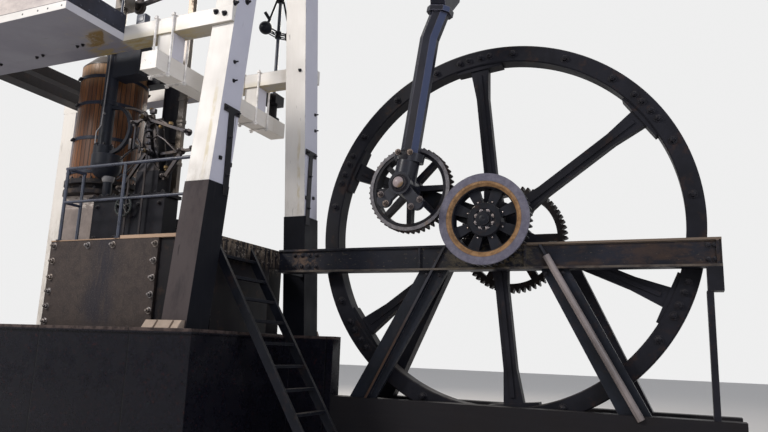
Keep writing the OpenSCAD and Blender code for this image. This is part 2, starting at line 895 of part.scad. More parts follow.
module stair() {
  t = 40;
  w = 90;
  tread_t = 30;
  slope = (stair_foot_x - stair_head_x) / cistern_top;
  half = w * sqrt(1 + slope * slope) / 2;
  high = cistern_top - (tank_x1 - stair_head_x - half) / slope;
  low = cistern_top - (tank_x1 - stair_head_x + half) / slope;
  color("#2a2523") {
    for (y = [-stair_out, -stair_in]) plate(y, y + t)
      polygon([[tank_x1, high], [stair_foot_x + half, 0], [stair_foot_x - half, 0], [tank_x1, low]]);
    for (i = [1:stair_treads]) {
      z = cistern_top * (1 - i / (stair_treads + 1));
      x = stair_head_x + (cistern_top - z) * slope;
      block(x - half * 0.9, x + half * 0.5, -stair_out + t, -stair_in, z, z + tread_t);
    }
  }
}

// Flywheel frame

bearer_x0 = 100;
bearer_low = bearer_top - bearer_h;
bearer_y1 = bearer_y + bearer_w;
left_strut_x = shaft_x - 645;
left_foot_x = shaft_x - 1455;
right_strut_x = shaft_x + 678;
right_foot_x = shaft_x + 1411;
rib_w = 30;
bearer_lip = 28;
module bearer() {
  lip = bearer_lip;
  clip = 60;
  mid_x = shaft_x + 370;
  color("#24262a") {
    plate_x(bearer_x0, bearer_x1) union() {
      translate([bearer_y, bearer_low]) square([bearer_w, flange_t]);
      translate([bearer_y + lip, bearer_low]) square([bearer_w - 2 * lip, bearer_h]);
      translate([bearer_y, bearer_top - flange_t]) square([bearer_w, flange_t]);
    }
    for (x = [left_strut_x - strut_w / 2, mid_x, bearer_x1 - 2 * flange_t])
      block(x, x + flange_t, bearer_y, bearer_y + lip, bearer_low + flange_t, bearer_top - flange_t);
    plate_x(bearer_x0, bearer_x0 + clip) polygon([
      [bearer_y1, bearer_low], [bearer_y1, bearer_top],
      [outer(bearer_top) - post_d - boot_proud - seat, bearer_top],
      [outer(bearer_low) - post_d - boot_proud - seat, bearer_low]]);
  }
}

// a strut with a rib up the middle that runs on across the face of the bearer
module strut(x_top, w_top, x_low, w_low, rib_low) {
  slope = (x_top - rib_low) / (bearer_low - sole_h);
  z0 = bearer_low + flange_t;
  z1 = bearer_top - flange_t;
  plate(bearer_y + 60, bearer_y + 110) polygon([
    [x_top - w_top / 2, bearer_low], [x_top + w_top / 2, bearer_low],
    [x_low + w_low / 2, sole_h], [x_low - w_low / 2, sole_h]]);
  plate(bearer_y, bearer_y + 60) polygon([
    [x_top - rib_w / 2, bearer_low], [x_top + rib_w / 2, bearer_low],
    [rib_low + rib_w / 2, sole_h], [rib_low - rib_w / 2, sole_h]]);
  plate(bearer_y, bearer_y + bearer_lip) polygon([for (p = [[z0, -1], [z0, 1], [z1, 1], [z1, -1]])
    [x_top + (p[0] - bearer_low) * slope + p[1] * rib_w / 2, p[0]]]);
}

module struts() {
  color("#22242a") {
    strut(left_strut_x, strut_w, left_foot_x, strut_w - 10, left_foot_x + 60);
    strut(right_strut_x, right_strut_w, right_foot_x, right_strut_w + 18, right_foot_x + 40);
  }
}

// a half-round bar that lies on the rib of the right strut
module strut_bar() {
  r = 37;
  z0 = sole_h - 40;
  z1 = bearer_low + 136;
  slope = (right_foot_x + 40 - right_strut_x) / (bearer_low - sole_h);
  x0 = right_foot_x + 40 + (sole_h - z0) * slope;
  color("#b9ab9c") translate([x0, bearer_y, z0]) rotate([0, -atan(slope), 0])
    linear_extrude(height = (z1 - z0) * sqrt(1 + slope * slope)) intersection() {
      circle(r = r);
      translate([-r - 1, -r - 1]) square([2 * r + 2, r + 1]);
    }
}

module right_post() {
  cap = 230;
  color("#26282c") {
    block(bearer_x1 - 150, bearer_x1 - 90, bearer_y + 10, bearer_y1 - 10, sole_h, bearer_low - cap);
    block(bearer_x1 - 140, bearer_x1, bearer_y, bearer_y1, bearer_low - cap, bearer_low);
  }
}

module sole_beams() {
  x0 = pier_x;
  x1 = bearer_x1 + 120;
  tie = 200;
  color("#2c2723") {
    block(x0, x1, bearer_y, bearer_y1, 0, sole_h);
    block(x0, x1, rear_y, rear_y + rear_w, 0, sole_h);
    for (x = [x0 + 20, x1 - tie - 20]) block(x, x + tie, bearer_y1, rear_y, 0, tie);
  }
}

// a plummer block for the flywheel shaft
module plummer(y0, y1) {
  cap_r = shaft_d / 2 + 60;
  foot = 60;
  difference() {
    union() {
      block(shaft_x - 270, shaft_x + 270, y0, y1, bearer_top, bearer_top + foot);
      plate(y0, y1) {
        polygon([[shaft_x - 190, bearer_top + foot], [shaft_x + 190, bearer_top + foot],
          [shaft_x + cap_r, shaft_z], [shaft_x - cap_r, shaft_z]]);
        translate([shaft_x, shaft_z]) circle(r = cap_r);
      }
    }
    bar_y(shaft_x, shaft_z, y0 - 1, y1 + 1, shaft_d + 2 * fit);
  }
}

module shaft_pedestals() {
  color("#2c2a29") {
    plummer(bearer_y + 10, bearer_y1 - 10);
    plummer(rear_y + 10, rear_y + rear_w - 10);
  }
}

module rear_frame() {
  beam_h = 200;
  half = 1040;
  leg_top = 640;
  leg_foot = 1330;
  leg_w = 220;
  z0 = bearer_top - beam_h;
  color("#24262a") plate(rear_y, rear_y + rear_w) {
    translate([shaft_x - half, z0]) square([2 * half, beam_h]);
    for (s = [-1, 1]) polygon([
      [shaft_x + s * leg_top, z0], [shaft_x + s * (leg_top + leg_w), z0],
      [shaft_x + s * (leg_foot + leg_w), sole_h], [shaft_x + s * leg_foot, sole_h]]);
  }
}

// Flywheel

module rim() {
  y1 = rim_y + rim_w;
  in_r = rim_r - rim_depth;
  c = rim_bevel;
  color("#26262b") {
    turned(shaft_x, shaft_z) polygon([[in_r, rim_y + c], [in_r + c, rim_y], [rim_r - c, rim_y],
      [rim_r, rim_y + c], [rim_r, y1 - c], [rim_r - c, y1], [in_r + c, y1], [in_r, y1 - c]]);
    plate(rim_y + 2 * c, y1 - 2 * c) translate([shaft_x, shaft_z])
      for (i = [0:5]) rotate(arm_angle + 60 * i)
        translate([pad_r, -pad_half]) square([rim_pad + rim_depth / 2, 2 * pad_half]);
  }
}

module wheel_arms() {
  mid_y = rim_y + rim_w / 2;
  rib_w = 46;
  color("#2a292c") {
    plate(mid_y - arm_t / 2, mid_y + arm_t / 2) translate([shaft_x, shaft_z]) difference() {
      union() {
        circle(r = hub_r);
        for (i = [0:5]) rotate(arm_angle + 60 * i)
          polygon([[0, -arm_end_w / 2], [hub_r, -arm_end_w / 2], [hub_r + arm_flare, -arm_w / 2],
            [pad_r - arm_flare, -arm_w / 2], [pad_r, -arm_end_w / 2], [pad_r, arm_end_w / 2],
            [pad_r - arm_flare, arm_w / 2], [hub_r + arm_flare, arm_w / 2], [hub_r, arm_end_w / 2],
            [0, arm_end_w / 2]]);
      }
      circle(d = shaft_d);
    }
    for (s = [0, 1]) {
      y0 = s == 0 ? rim_y - 20 : mid_y + arm_t / 2;
      y1 = s == 0 ? mid_y - arm_t / 2 : rim_y + rim_w + 20;
      r0 = s == 0 ? mid_y - arm_t / 2 - arm_rib : mid_y + arm_t / 2;
      plate(y0, y1) translate([shaft_x, shaft_z]) ring(hub_r - 20, shaft_d / 2);
      plate(r0, r0 + arm_rib) translate([shaft_x, shaft_z])
        for (i = [0:5]) rotate(arm_angle + 60 * i)
          translate([hub_r - 40, -rib_w / 2]) square([pad_r - hub_r - 20, rib_w]);
    }
  }
}

hub_y = gear_y + 15;
module shaft() {
  nose = 130;
  color("#4a4846") {
    bar_y(shaft_x, shaft_z, hub_y, shaft_end_y, shaft_d);
    bar_y(shaft_x, shaft_z, hub_y - 35, hub_y, nose);
  }
}

module sun_gear() {
  hub = 184;
  color("#4a4038") {
    plate(gear_y, gear_y + gear_w) translate([shaft_x, shaft_z]) difference() {
      gear_outline(gear_r, gear_teeth, planet_angle, backlash);
      circle(r = sun_open_r, $fn = 128);
    }
    plate(gear_y + 50, gear_y + gear_w - 20) translate([shaft_x, shaft_z]) difference() {
      for (i = [0:7]) rotate(i * 45 + 22.5)
        polygon([[90, -34], [sun_open_r + 12, -66], [sun_open_r + 12, 66], [90, 34]]);
      circle(d = shaft_d);
    }
    plate(hub_y, gear_y + gear_w) translate([shaft_x, shaft_z]) ring(hub, shaft_d / 2);
  }
}

module sun_shroud() {
  back_r = gear_r - 35;
  color("#a9a49a") turned(shaft_x, shaft_z) polygon([[bevel_r, shroud_y], [shroud_r - 4, shroud_y],
    [shroud_r, shroud_y + 4], [shroud_r, shroud_y + shroud_t], [back_r, shroud_y + shroud_t],
    [back_r, gear_y], [sun_open_r, gear_y]]);
}

module drive_gear() {
  m = 2 * drive_r / (drive_teeth + 2);
  rim_t = 110;
  color("#2b2b2e") plate(drive_y, drive_y + drive_w) translate([shaft_x, shaft_z]) difference() {
    union() {
      difference() {
        gear_outline(drive_r - m, drive_teeth, 0, backlash);
        circle(r = drive_r - rim_t, $fn = 128);
      }
      circle(r = 190);
      for (i = [0:5]) rotate(i * 60) translate([0, -45]) square([drive_r - rim_t + 15, 90]);
    }
    circle(d = shaft_d);
  }
}

// Planet, rod and link

module orbit_link() {
  eye = planet_pin_d + 120;
  boss = shaft_d + 130;
  color("#3a3836") plate(orbit_y, orbit_y + orbit_t) difference() {
    union() {
      translate([shaft_x, shaft_z]) circle(d = boss);
      translate([pin_x, pin_z]) circle(d = eye);
      translate([shaft_x, shaft_z]) rotate(planet_angle)
        polygon([[0, -boss / 2 + 40], [gear_centres, -eye / 2 + 40],
          [gear_centres, eye / 2 - 40], [0, boss / 2 - 40]]);
    }
    translate([shaft_x, shaft_z]) circle(d = shaft_d + 2 * fit);
    translate([pin_x, pin_z]) circle(d = planet_pin_d + 2 * fit);
  }
}

module planet_gear() {
  hub_r = planet_pin_d / 2 + 75;
  arm_in = 34;
  lip_r = gear_r + 5;
  color("#39383a") {
    plate(gear_y, gear_y + gear_w) translate([pin_x, pin_z]) difference() {
      gear_outline(gear_r, gear_teeth, planet_angle + 180 + 180 / gear_teeth, backlash);
      circle(r = planet_open_r, $fn = 128);
    }
    plate(gear_y - 10, gear_y) translate([pin_x, pin_z]) ring(lip_r, lip_r - lip_w);
    plate(gear_y + 20, gear_y + gear_w - 20) translate([pin_x, pin_z]) difference() {
      union() {
        circle(r = hub_r);
        for (i = [0:7]) rotate(i * 45)
          polygon([[0, -arm_in], [planet_open_r + 12, -arm_in + 8],
            [planet_open_r + 12, arm_in - 8], [0, arm_in]]);
      }
      circle(d = planet_pin_d);
    }
  }
}

// frame of the rod: its own Z runs from the planet pin to the top pin
module along_rod() {
  translate([pin_x, 0, pin_z]) rotate([0, rod_lean, 0]) children();
}

// a square bar with bevelled corners along Z
module bevelled_bar(w, t, c, z0, z1) {
  translate([0, 0, z0]) linear_extrude(height = z1 - z0) polygon([
    [-w / 2 + c, -t / 2], [w / 2 - c, -t / 2], [w / 2, -t / 2 + c], [w / 2, t / 2 - c],
    [w / 2 - c, t / 2], [-w / 2 + c, t / 2], [-w / 2, t / 2 - c], [-w / 2, -t / 2 + c]]);
}

// the same bar bent once in its length, where it stands out to one side
module bent_bar(w, t, c, z0, z_bend, z1, out) {
  low = atan2(-out, z_bend - z0);
  high = atan2(out, z1 - z_bend);
  mitre = (low + high) / 2;
  far = z1 - z0;
  intersection() {
    translate([0, 0, z0]) rotate([0, low, 0]) bevelled_bar(w, t, c, -w, far);
    translate([-2 * w, -t, z0]) cube([4 * w, 2 * t, far]);
    translate([-out, 0, z_bend]) rotate([0, mitre, 0])
      translate([-2 * w, -t, -2 * far]) cube([4 * w, 2 * t, 2 * far]);
  }
  intersection() {
    translate([-out, 0, z_bend]) rotate([0, high, 0]) bevelled_bar(w, t, c, -w, far);
    translate([-2 * w, -t, z0]) cube([4 * w, 2 * t, far]);
    translate([-out, 0, z_bend]) rotate([0, mitre, 0])
      translate([-2 * w, -t, 0]) cube([4 * w, 2 * t, 2 * far]);
  }
}

module connecting_rod() {
  neck = rod_len - fork_len;
  collar = 60;
  gap_z = neck + 2 * fork_in + 20;
  out = fork_in + fork_t;
  half = fork_w / 2;
  eye = 130;
  color("#1d1d20") along_rod() {
    bent_bar(rod_w, rod_t, rod_bevel, collar_s + collar_h, rod_bend, neck - collar, rod_set);
    bevelled_bar(rod_w + 70, rod_t + 60, rod_bevel, neck - collar, neck);
    intersection() {
      plate_x(-eye - 10, eye + 10) difference() {
        polygon([[-rod_t / 2, neck], [rod_t / 2, neck], [out, neck + 1.1 * fork_in], [out, rod_len + eye],
          [-out, rod_len + eye], [-out, neck + 1.1 * fork_in]]);
        translate([0, gap_z]) circle(r = fork_in);
        translate([-fork_in, gap_z]) square([2 * fork_in, rod_len]);
      }
      plate(-out - 10, out + 10) {
        polygon([[-half - 15, neck], [half + 15, neck], [half, gap_z], [half - 20, rod_len],
          [-half + 20, rod_len], [-half, gap_z]]);
        translate([0, rod_len]) circle(r = eye);
      }
    }
  }
}

module rod_foot() {
  claw_y0 = -90;
  claw_y1 = -30;
  front = -125;
  back = gear_y + 20;
  dome_h = 62;
  dome_sphere = (dome_r * dome_r + dome_h * dome_h) / (2 * dome_h);
  color("#3c3b3d") {
    bar_y(pin_x, pin_z, front - 5, orbit_y + orbit_t, planet_pin_d);
    translate([pin_x, front, pin_z]) rotate([90, 0, 0]) rotate_extrude() intersection() {
      translate([0, dome_h - dome_sphere]) circle(r = dome_sphere, $fn = 96);
      square([dome_r, dome_h]);
    }
    difference() {
      union() {
        along_rod() {
          translate([0, 0, 20]) cylinder(h = collar_s - 20, d = foot_d);
          translate([0, 0, collar_s]) linear_extrude(height = collar_h) union() {
            for (x = [-62, 62]) translate([x, 0]) circle(d = rod_t + 30);
            translate([-62, -rod_t / 2 - 15]) square([124, rod_t + 30]);
          }
        }
        bar_y(pin_x, pin_z, front, back, foot_d);
        link(pin_x, pin_z, pin_x - 190, pin_z - 165, 120, 165, claw_y0, claw_y1);
        link(pin_x, pin_z, pin_x + 180, pin_z - 215, 120, 165, claw_y0, claw_y1);
      }
      bar_y(pin_x, pin_z, front - 10, back + 10, planet_pin_d);
    }
  }
}

// Governor

module governor_stand() {
  box = 110;
  box_h = 150;
  color("#252424") {
    block(gov_x - box, gov_x + box, gov_y - box, gov_y + box, gov_z - box_h, gov_z);
    block(gov_x - 40, gov_x + 40, spring_out, gov_y - box, gov_z - 90, gov_z - 30);
    bar_z(gov_x, gov_y, gov_z - box_h - 240, gov_z - box_h, 120);
    bar_z(gov_x, gov_y, gov_z - box_h - 240, gov_z - box_h - 200, 200);
  }
}

module governor_spindle() {
  color("#2d2c2c") {
    bar_z(gov_x, gov_y, gov_z + 0.3, gov_top, 50);
    bar_z(gov_x, gov_y, gov_z + 0.3, gov_z + 40, 110);
  }
}

module governor_balls() {
  collar_z = gov_top - 340;
  ball_z = gov_top - 630;
  throw = 224;
  color("#2d2c2c") translate([gov_x, gov_y, 0]) rotate(-63) {
    for (s = [-1, 1]) {
      translate([s * throw, 0, ball_z]) rotate(90) sphere(r = ball_r);
      bar([s * 40, 0, collar_z + 30], [s * (throw - 10), 0, ball_z + ball_r - 15], 26);
    }
    difference() {
      bar_z(0, 0, collar_z, collar_z + 70, 110);
      bar_z(0, 0, collar_z - 10, collar_z + 80, 50);
    }
  }
}

plinth();
cistern();
cistern_front_plate();
cistern_boards();
end_tank();
front_post();
back_post();
post_boots();
post_feet();
post_straps();
head_beams();
trunnion_bearings();
trunnion();
beam();
beam_straps();
motion_links();
piston_rod();
spring_beams();
end_posts();
cross_beam();
spacer_blocks();
tie_rods();
platform();
deck_channel();
floor_joists();
cylinder_base();
cylinder_lagging();
cylinder_hoops();
cylinder_cover();
steam_pipe();
nozzle_chests();
valve_levers();
pump_rods();
air_pump();
handrail();
stair();
bearer();
struts();
strut_bar();
right_post();
sole_beams();
shaft_pedestals();
rear_frame();
governor_stand();
rim();
wheel_arms();
shaft();
sun_gear();
sun_shroud();
drive_gear();
orbit_link();
planet_gear();
connecting_rod();
rod_foot();
governor_spindle();
governor_balls();
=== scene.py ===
import math
import random
import bmesh
import bpy
from mathutils import Matrix, Vector


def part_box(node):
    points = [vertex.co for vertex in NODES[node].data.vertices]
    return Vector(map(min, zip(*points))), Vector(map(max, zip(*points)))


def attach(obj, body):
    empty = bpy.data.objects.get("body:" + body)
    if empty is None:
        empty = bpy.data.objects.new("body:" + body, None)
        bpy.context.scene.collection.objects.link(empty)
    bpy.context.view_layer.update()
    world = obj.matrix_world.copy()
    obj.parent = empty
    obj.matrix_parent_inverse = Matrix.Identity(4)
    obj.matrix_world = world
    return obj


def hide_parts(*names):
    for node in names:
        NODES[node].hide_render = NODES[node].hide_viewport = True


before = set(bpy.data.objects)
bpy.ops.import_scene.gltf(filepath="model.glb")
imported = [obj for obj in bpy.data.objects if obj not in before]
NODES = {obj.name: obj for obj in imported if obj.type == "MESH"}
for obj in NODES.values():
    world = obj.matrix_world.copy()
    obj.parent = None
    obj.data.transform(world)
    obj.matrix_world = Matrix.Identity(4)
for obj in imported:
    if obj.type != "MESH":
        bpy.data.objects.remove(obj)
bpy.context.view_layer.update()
random.seed(7)

# Directions in the part's frame: the photo looks along +Y
FRONT, BACK, SIDE, UP, DOWN = (0, -1, 0), (0, 1, 0), (1, 0, 0), (0, 0, 1), (0, 0, -1)

# Sizes of the model that finishes and small parts follow, in metres
STAVES = 44
CYLINDER_X = -2.533
SHAFT_Z = 2.505
GEAR_X = 2.74
ORBIT = 0.94
PLANET_TURN = math.radians(156)
PLANET_X = GEAR_X + ORBIT * math.cos(PLANET_TURN)
PLANET_Z = SHAFT_Z + ORBIT * math.sin(PLANET_TURN)
RIM_BOLTS_R = 2.035
GIRDER_FACE = 0.400
EDGE_NAILS = (-4.20, -3.42, -2.66, -2.10, -1.856, -1.700, -1.487)
EDGE_NAILS_Z = 4.706

# Camera at the photograph's viewing angle
CAMERA_PLACE = Vector((4.629, -6.652, 1.106))
CAMERA_YAW = math.radians(24.05)
CAMERA_PITCH = math.radians(11.27)
CAMERA_ROLL = math.radians(2.10)
FOCAL_PIXELS = 677.4
IMAGE_WIDTH = 768.0
SENSOR_WIDTH = 36.0


def make_camera():
    cy, sy = math.cos(CAMERA_YAW), math.sin(CAMERA_YAW)
    cp, sp = math.cos(CAMERA_PITCH), math.sin(CAMERA_PITCH)
    level = Vector((-sy, cy, 0))
    right = Vector((cy, sy, 0))
    forward = level * cp + Vector((0, 0, sp))
    up = right.cross(forward)
    cr, sr = math.cos(CAMERA_ROLL), math.sin(CAMERA_ROLL)
    side = right * cr + up * sr
    top = -right * sr + up * cr
    data = bpy.data.cameras.new("camera")
    data.sensor_width = SENSOR_WIDTH
    data.lens = FOCAL_PIXELS / IMAGE_WIDTH * SENSOR_WIDTH
    cam = bpy.data.objects.new("camera", data)
    bpy.context.scene.collection.objects.link(cam)
    turn = Matrix((side, top, -forward)).transposed().to_4x4()
    cam.matrix_world = Matrix.Translation(CAMERA_PLACE) @ turn
    bpy.context.scene.camera = cam


make_camera()


# ---------- finishes ----------
class Coat:
    """A procedural finish built node by node; places are metres in the part's own frame."""

    def __init__(self, name, rough, metal=0.0, gloss=0.0, shine=0.5):
        self.m = bpy.data.materials.new(name)
        self.m.use_nodes = True
        self.tree = self.m.node_tree
        self.skin = self.tree.nodes["Principled BSDF"]
        for socket, value in (("Roughness", rough), ("Metallic", metal), ("Specular IOR Level", shine),
                              ("Coat Weight", gloss), ("Coat Roughness", 0.25)):
            self.skin.inputs[socket].default_value = value
        self.at = self.node("TexCoord").outputs["Object"]
        self.x, self.y, self.z = self.node("SeparateXYZ", Vector=self.at).outputs
        self.normal = self.node("NewGeometry").outputs["Normal"]
        self.nx, self.ny, self.nz = self.node("SeparateXYZ", Vector=self.normal).outputs

    def put(self, socket, v):
        if isinstance(v, bpy.types.NodeSocket):
            self.tree.links.new(v, socket)
        elif isinstance(v, tuple) and len(v) == 3 and socket.type == "RGBA":
            socket.default_value = (*v, 1)
        else:
            socket.default_value = v

    def node(self, kind, setting=None, **values):
        n = self.tree.nodes.new("ShaderNode" + kind)
        for k, v in (setting or {}).items():
            setattr(n, k, v)
        for k, v in values.items():
            self.put(n.inputs[k.replace("_", " ")], v)
        return n

    def calc(self, op, a, b=0.0):
        n = self.node("Math", {"operation": op})
        self.put(n.inputs[0], a)
        self.put(n.inputs[1], b)
        return n.outputs[0]

    def total(self, first, *rest):
        for r in rest:
            first = self.calc("ADD", first, r)
        return first

    def times(self, first, *rest):
        for r in rest:
            first = self.calc("MULTIPLY", first, r)
        return first

    def ramp(self, v, lo, hi, a=0.0, b=1.0):
        n = self.node("MapRange", {"interpolation_type": "SMOOTHSTEP"})
        for socket, value in zip(n.inputs, (v, lo, hi, a, b)):
            self.put(socket, value)
        return n.outputs[0]

    def window(self, v, lo, hi, soft):
        """1 between lo and hi, 0 outside"""
        return self.times(self.ramp(v, lo - soft, lo + soft), self.ramp(v, hi - soft, hi + soft, 1.0, 0.0))

    def off_middle(self, v):
        """how far v is from the middle of the whole step that it lies in"""
        return self.calc("ABSOLUTE", self.calc("SUBTRACT", self.calc("FRACT", v), 0.5))

    def noise(self, scale, detail=4.0, rough=0.6, stretch=(1, 1, 1), shift=0.0, twist=0.0):
        where = self.node("Mapping", Vector=self.at, Scale=stretch, Location=(shift, shift * 0.7, -shift))
        n = self.node("TexNoise", Vector=where.outputs[0], Scale=scale, Detail=detail, Roughness=rough,
                      Distortion=twist)
        return n.outputs["Fac"]

    def mix(self, f, a, b):
        n = self.node("Mix", {"data_type": "RGBA"})
        self.put(n.inputs[0], f)
        self.put(n.inputs[6], a)
        self.put(n.inputs[7], b)
        return n.outputs[2]

    def lay(self, mask, share, colour, tint):
        """tint over colour where the mask is 1, by the share given"""
        return self.mix(self.times(mask, share), colour, tint)

    def front(self):
        """1 on faces that look to the front"""
        return self.ramp(self.ny, -0.5, -0.8)

    def right(self):
        """1 on faces that look to the right"""
        return self.ramp(self.nx, 0.5, 0.8)

    def under(self):
        """1 on faces that look down"""
        return self.ramp(self.nz, -0.4, -0.8)

    def edges(self, radius):
        """1 along sharp edges and 0 on flat faces"""
        soft = self.node("Bevel", {"samples": 4}, Radius=radius).outputs[0]
        turn = self.node("VectorMath", {"operation": "DOT_PRODUCT"})
        self.put(turn.inputs[0], soft)
        self.put(turn.inputs[1], self.normal)
        return self.ramp(turn.outputs["Value"], 0.99, 0.80)

    def away(self, cx, cz):
        """distance from an axis along Y"""
        dx, dz = self.calc("SUBTRACT", self.x, cx), self.calc("SUBTRACT", self.z, cz)
        return self.calc("SQRT", self.total(self.times(dx, dx), self.times(dz, dz)))

    def done(self, colour, rough, height, depth, strength, round_off):
        self.put(self.skin.inputs["Base Color"], colour)
        self.put(self.skin.inputs["Roughness"], rough)
        bump = self.node("Bump", Strength=strength, Distance=depth, Height=height)
        if round_off:
            self.put(bump.inputs["Normal"], self.node("Bevel", {"samples": 4}, Radius=round_off).outputs[0])
        self.put(self.skin.inputs["Normal"], bump.outputs[0])
        return self.m


def toned(colour, k):
    return tuple(k * v for v in colour)


GRAIN = {"x": (0.06, 1, 1), "y": (1, 0.06, 1), "z": (1, 1, 0.06)}


def painted_timber(name, along, paint, wood, dirt, stains_and_shade=None, rough=0.55, shine=0.5):
    """Timber under old paint: grain and drying cracks along the length, grime, rubbed edges."""
    c = Coat(name, rough, shine=shine)
    grain = c.noise(26, 5, 0.65, GRAIN[along], twist=0.4)
    fine = c.noise(110, 3, 0.6, GRAIN[along], 3.0)
    cloud = c.noise(1.6, 5, 0.6, shift=2.0)
    crack = c.ramp(c.noise(34, 2, 0.5, GRAIN[along], 9.0), 0.72, 0.76)
    colour = c.mix(c.ramp(grain, 0.35, 0.75, 0.0, 0.12), paint, wood)
    colour = c.mix(c.ramp(cloud, 0.45, 0.72, 0.0, dirt), colour, toned(wood, 0.62))
    # the extra function lays stains and, on some timbers, painted light and shade
    if stains_and_shade:
        colour = stains_and_shade(c, colour)
    colour = c.lay(crack, 0.55, colour, toned(wood, 0.18))
    worn = c.times(c.edges(0.018), c.ramp(c.noise(18, 4, 0.7), 0.42, 0.62))
    colour = c.lay(worn, 0.35, colour, toned(wood, 0.42))
    height = c.total(c.times(grain, 0.4), c.times(fine, 0.15), c.times(crack, -0.9))
    return c.done(colour, c.ramp(cloud, 0.3, 0.8, rough - 0.12, rough + 0.2), height, 0.0025, 0.4, 0.008)


def cast(name, base, worn=(0.16, 0.15, 0.15), rust=0.25, rough=0.42, dust=0.35, extra=None, gloss=0.0,
         scale=1.0, edge=0.4, shine=0.14, round_off=0.006):
    """Painted or bare cast iron: sand-cast skin, rubbed edges, rust in patches, dust lying on top faces."""
    c = Coat(name, rough, gloss=gloss, shine=shine)
    skin = c.noise(70 * scale, 5, 0.7)
    cloud = c.noise(2.4 * scale, 6, 0.65, shift=1.0)
    patch = c.ramp(c.noise(6.5 * scale, 6, 0.7, shift=5.0), 0.54, 0.70)
    drip = c.ramp(c.noise(9 * scale, 4, 0.6, (1, 1, 0.12), 7.0), 0.55, 0.75)
    colour = c.mix(c.ramp(cloud, 0.3, 0.75), toned(base, 0.68), toned(base, 1.35))
    colour = c.lay(patch, rust, colour, (0.085, 0.042, 0.022))
    colour = c.lay(drip, 0.18, colour, toned(base, 2.2))
    top = c.times(c.ramp(c.nz, 0.35, 0.9), c.ramp(c.noise(14, 5, 0.7, shift=3.0), 0.3, 0.6))
    colour = c.lay(top, dust, colour, (0.21, 0.18, 0.15))
    rubbed = c.times(c.edges(0.010), c.ramp(c.noise(25, 3, 0.6), 0.35, 0.6))
    colour = c.lay(rubbed, edge, colour, worn)
    if extra:
        colour = extra(c, colour)
    height = c.total(c.times(skin, 0.5), c.times(c.noise(240 * scale, 2, 0.5), 0.18), c.times(patch, 0.25))
    return c.done(colour, c.ramp(cloud, 0.25, 0.8, rough - 0.10, rough + 0.18), height, 0.0022, 0.45, round_off)


def bright(name, base, rough, brass, grease):
    """Bright worked metal: turning marks, smeared grease, brassy tint."""
    c = Coat(name, rough, 0.85)
    marks = c.noise(160, 3, 0.6, (1, 1, 0.25))
    smear = c.ramp(c.noise(7, 6, 0.7, shift=4.0), 0.48, 0.68)
    tint = c.ramp(c.noise(3.3, 4, 0.6, shift=8.0), 0.40, 0.62)
    colour = c.lay(tint, brass, base, (0.42, 0.27, 0.12))
    colour = c.lay(smear, grease, colour, (0.075, 0.055, 0.038))
    height = c.total(c.times(marks, 0.4), c.times(smear, 0.3))
    return c.done(colour, c.ramp(smear, 0.0, 1.0, rough, rough + 0.28), height, 0.0012, 0.35, 0.004)


def post_stain_and_shade(c, colour):
    """yellow run of varnish down the post's front, grime near its foot, painted cool shade on its right side"""
    run = c.times(c.window(c.x, 0.05, 0.095, 0.012), c.window(c.z, 2.9, 3.85, 0.18))
    run = c.times(run, c.ramp(c.noise(16, 4, 0.7, (1, 1, 0.3)), 0.38, 0.6), c.ramp(c.ny, -0.6, -0.8))
    low = c.times(c.ramp(c.z, 3.15, 2.8), c.ramp(c.noise(9, 5, 0.7, (1, 1, 0.4), 6.0), 0.4, 0.65))
    colour = c.lay(low, 0.35, colour, (0.30, 0.25, 0.19))
    # painted cool shade: lavender over the faces that look to the right
    colour = c.lay(c.right(), 0.75, colour, (0.60, 0.60, 0.72))
    return c.lay(run, 0.45, colour, (0.52, 0.40, 0.14))


def beam_stain_and_shade(c, colour):
    """painted shade on the underside, warm near the trestle and lavender near the platform, with yellow-brown
    seepage
    """
    under = c.under()
    spread = c.times(under, c.window(c.x, -1.55, -0.35, 0.25), c.ramp(c.noise(5, 5, 0.7, (1, 2, 1)), 0.40, 0.60))
    # painted shade: the underside darkened to a warm grey
    colour = c.lay(under, 0.8, colour, (0.27, 0.245, 0.20))
    cream = c.times(c.front(), c.ramp(c.z, 4.76, 4.68), c.window(c.x, -1.6, -0.5, 0.2))
    colour = c.lay(cream, 0.35, colour, (0.62, 0.52, 0.28))
    colour = c.lay(spread, 0.62, colour, (0.40, 0.30, 0.10))
    # painted shade: the underside left of the platform's edge a darker lavender grey
    colour = c.mix(c.times(under, c.ramp(c.x, -1.42, -1.50)), colour, (0.195, 0.190, 0.228))
    streak = c.times(under, c.window(c.x, -2.05, -1.10, 0.12),
                     c.ramp(c.noise(7, 5, 0.75, (0.4, 1.6, 1), 3.0), 0.44, 0.58))
    return c.lay(streak, 0.8, colour, (0.30, 0.215, 0.055))


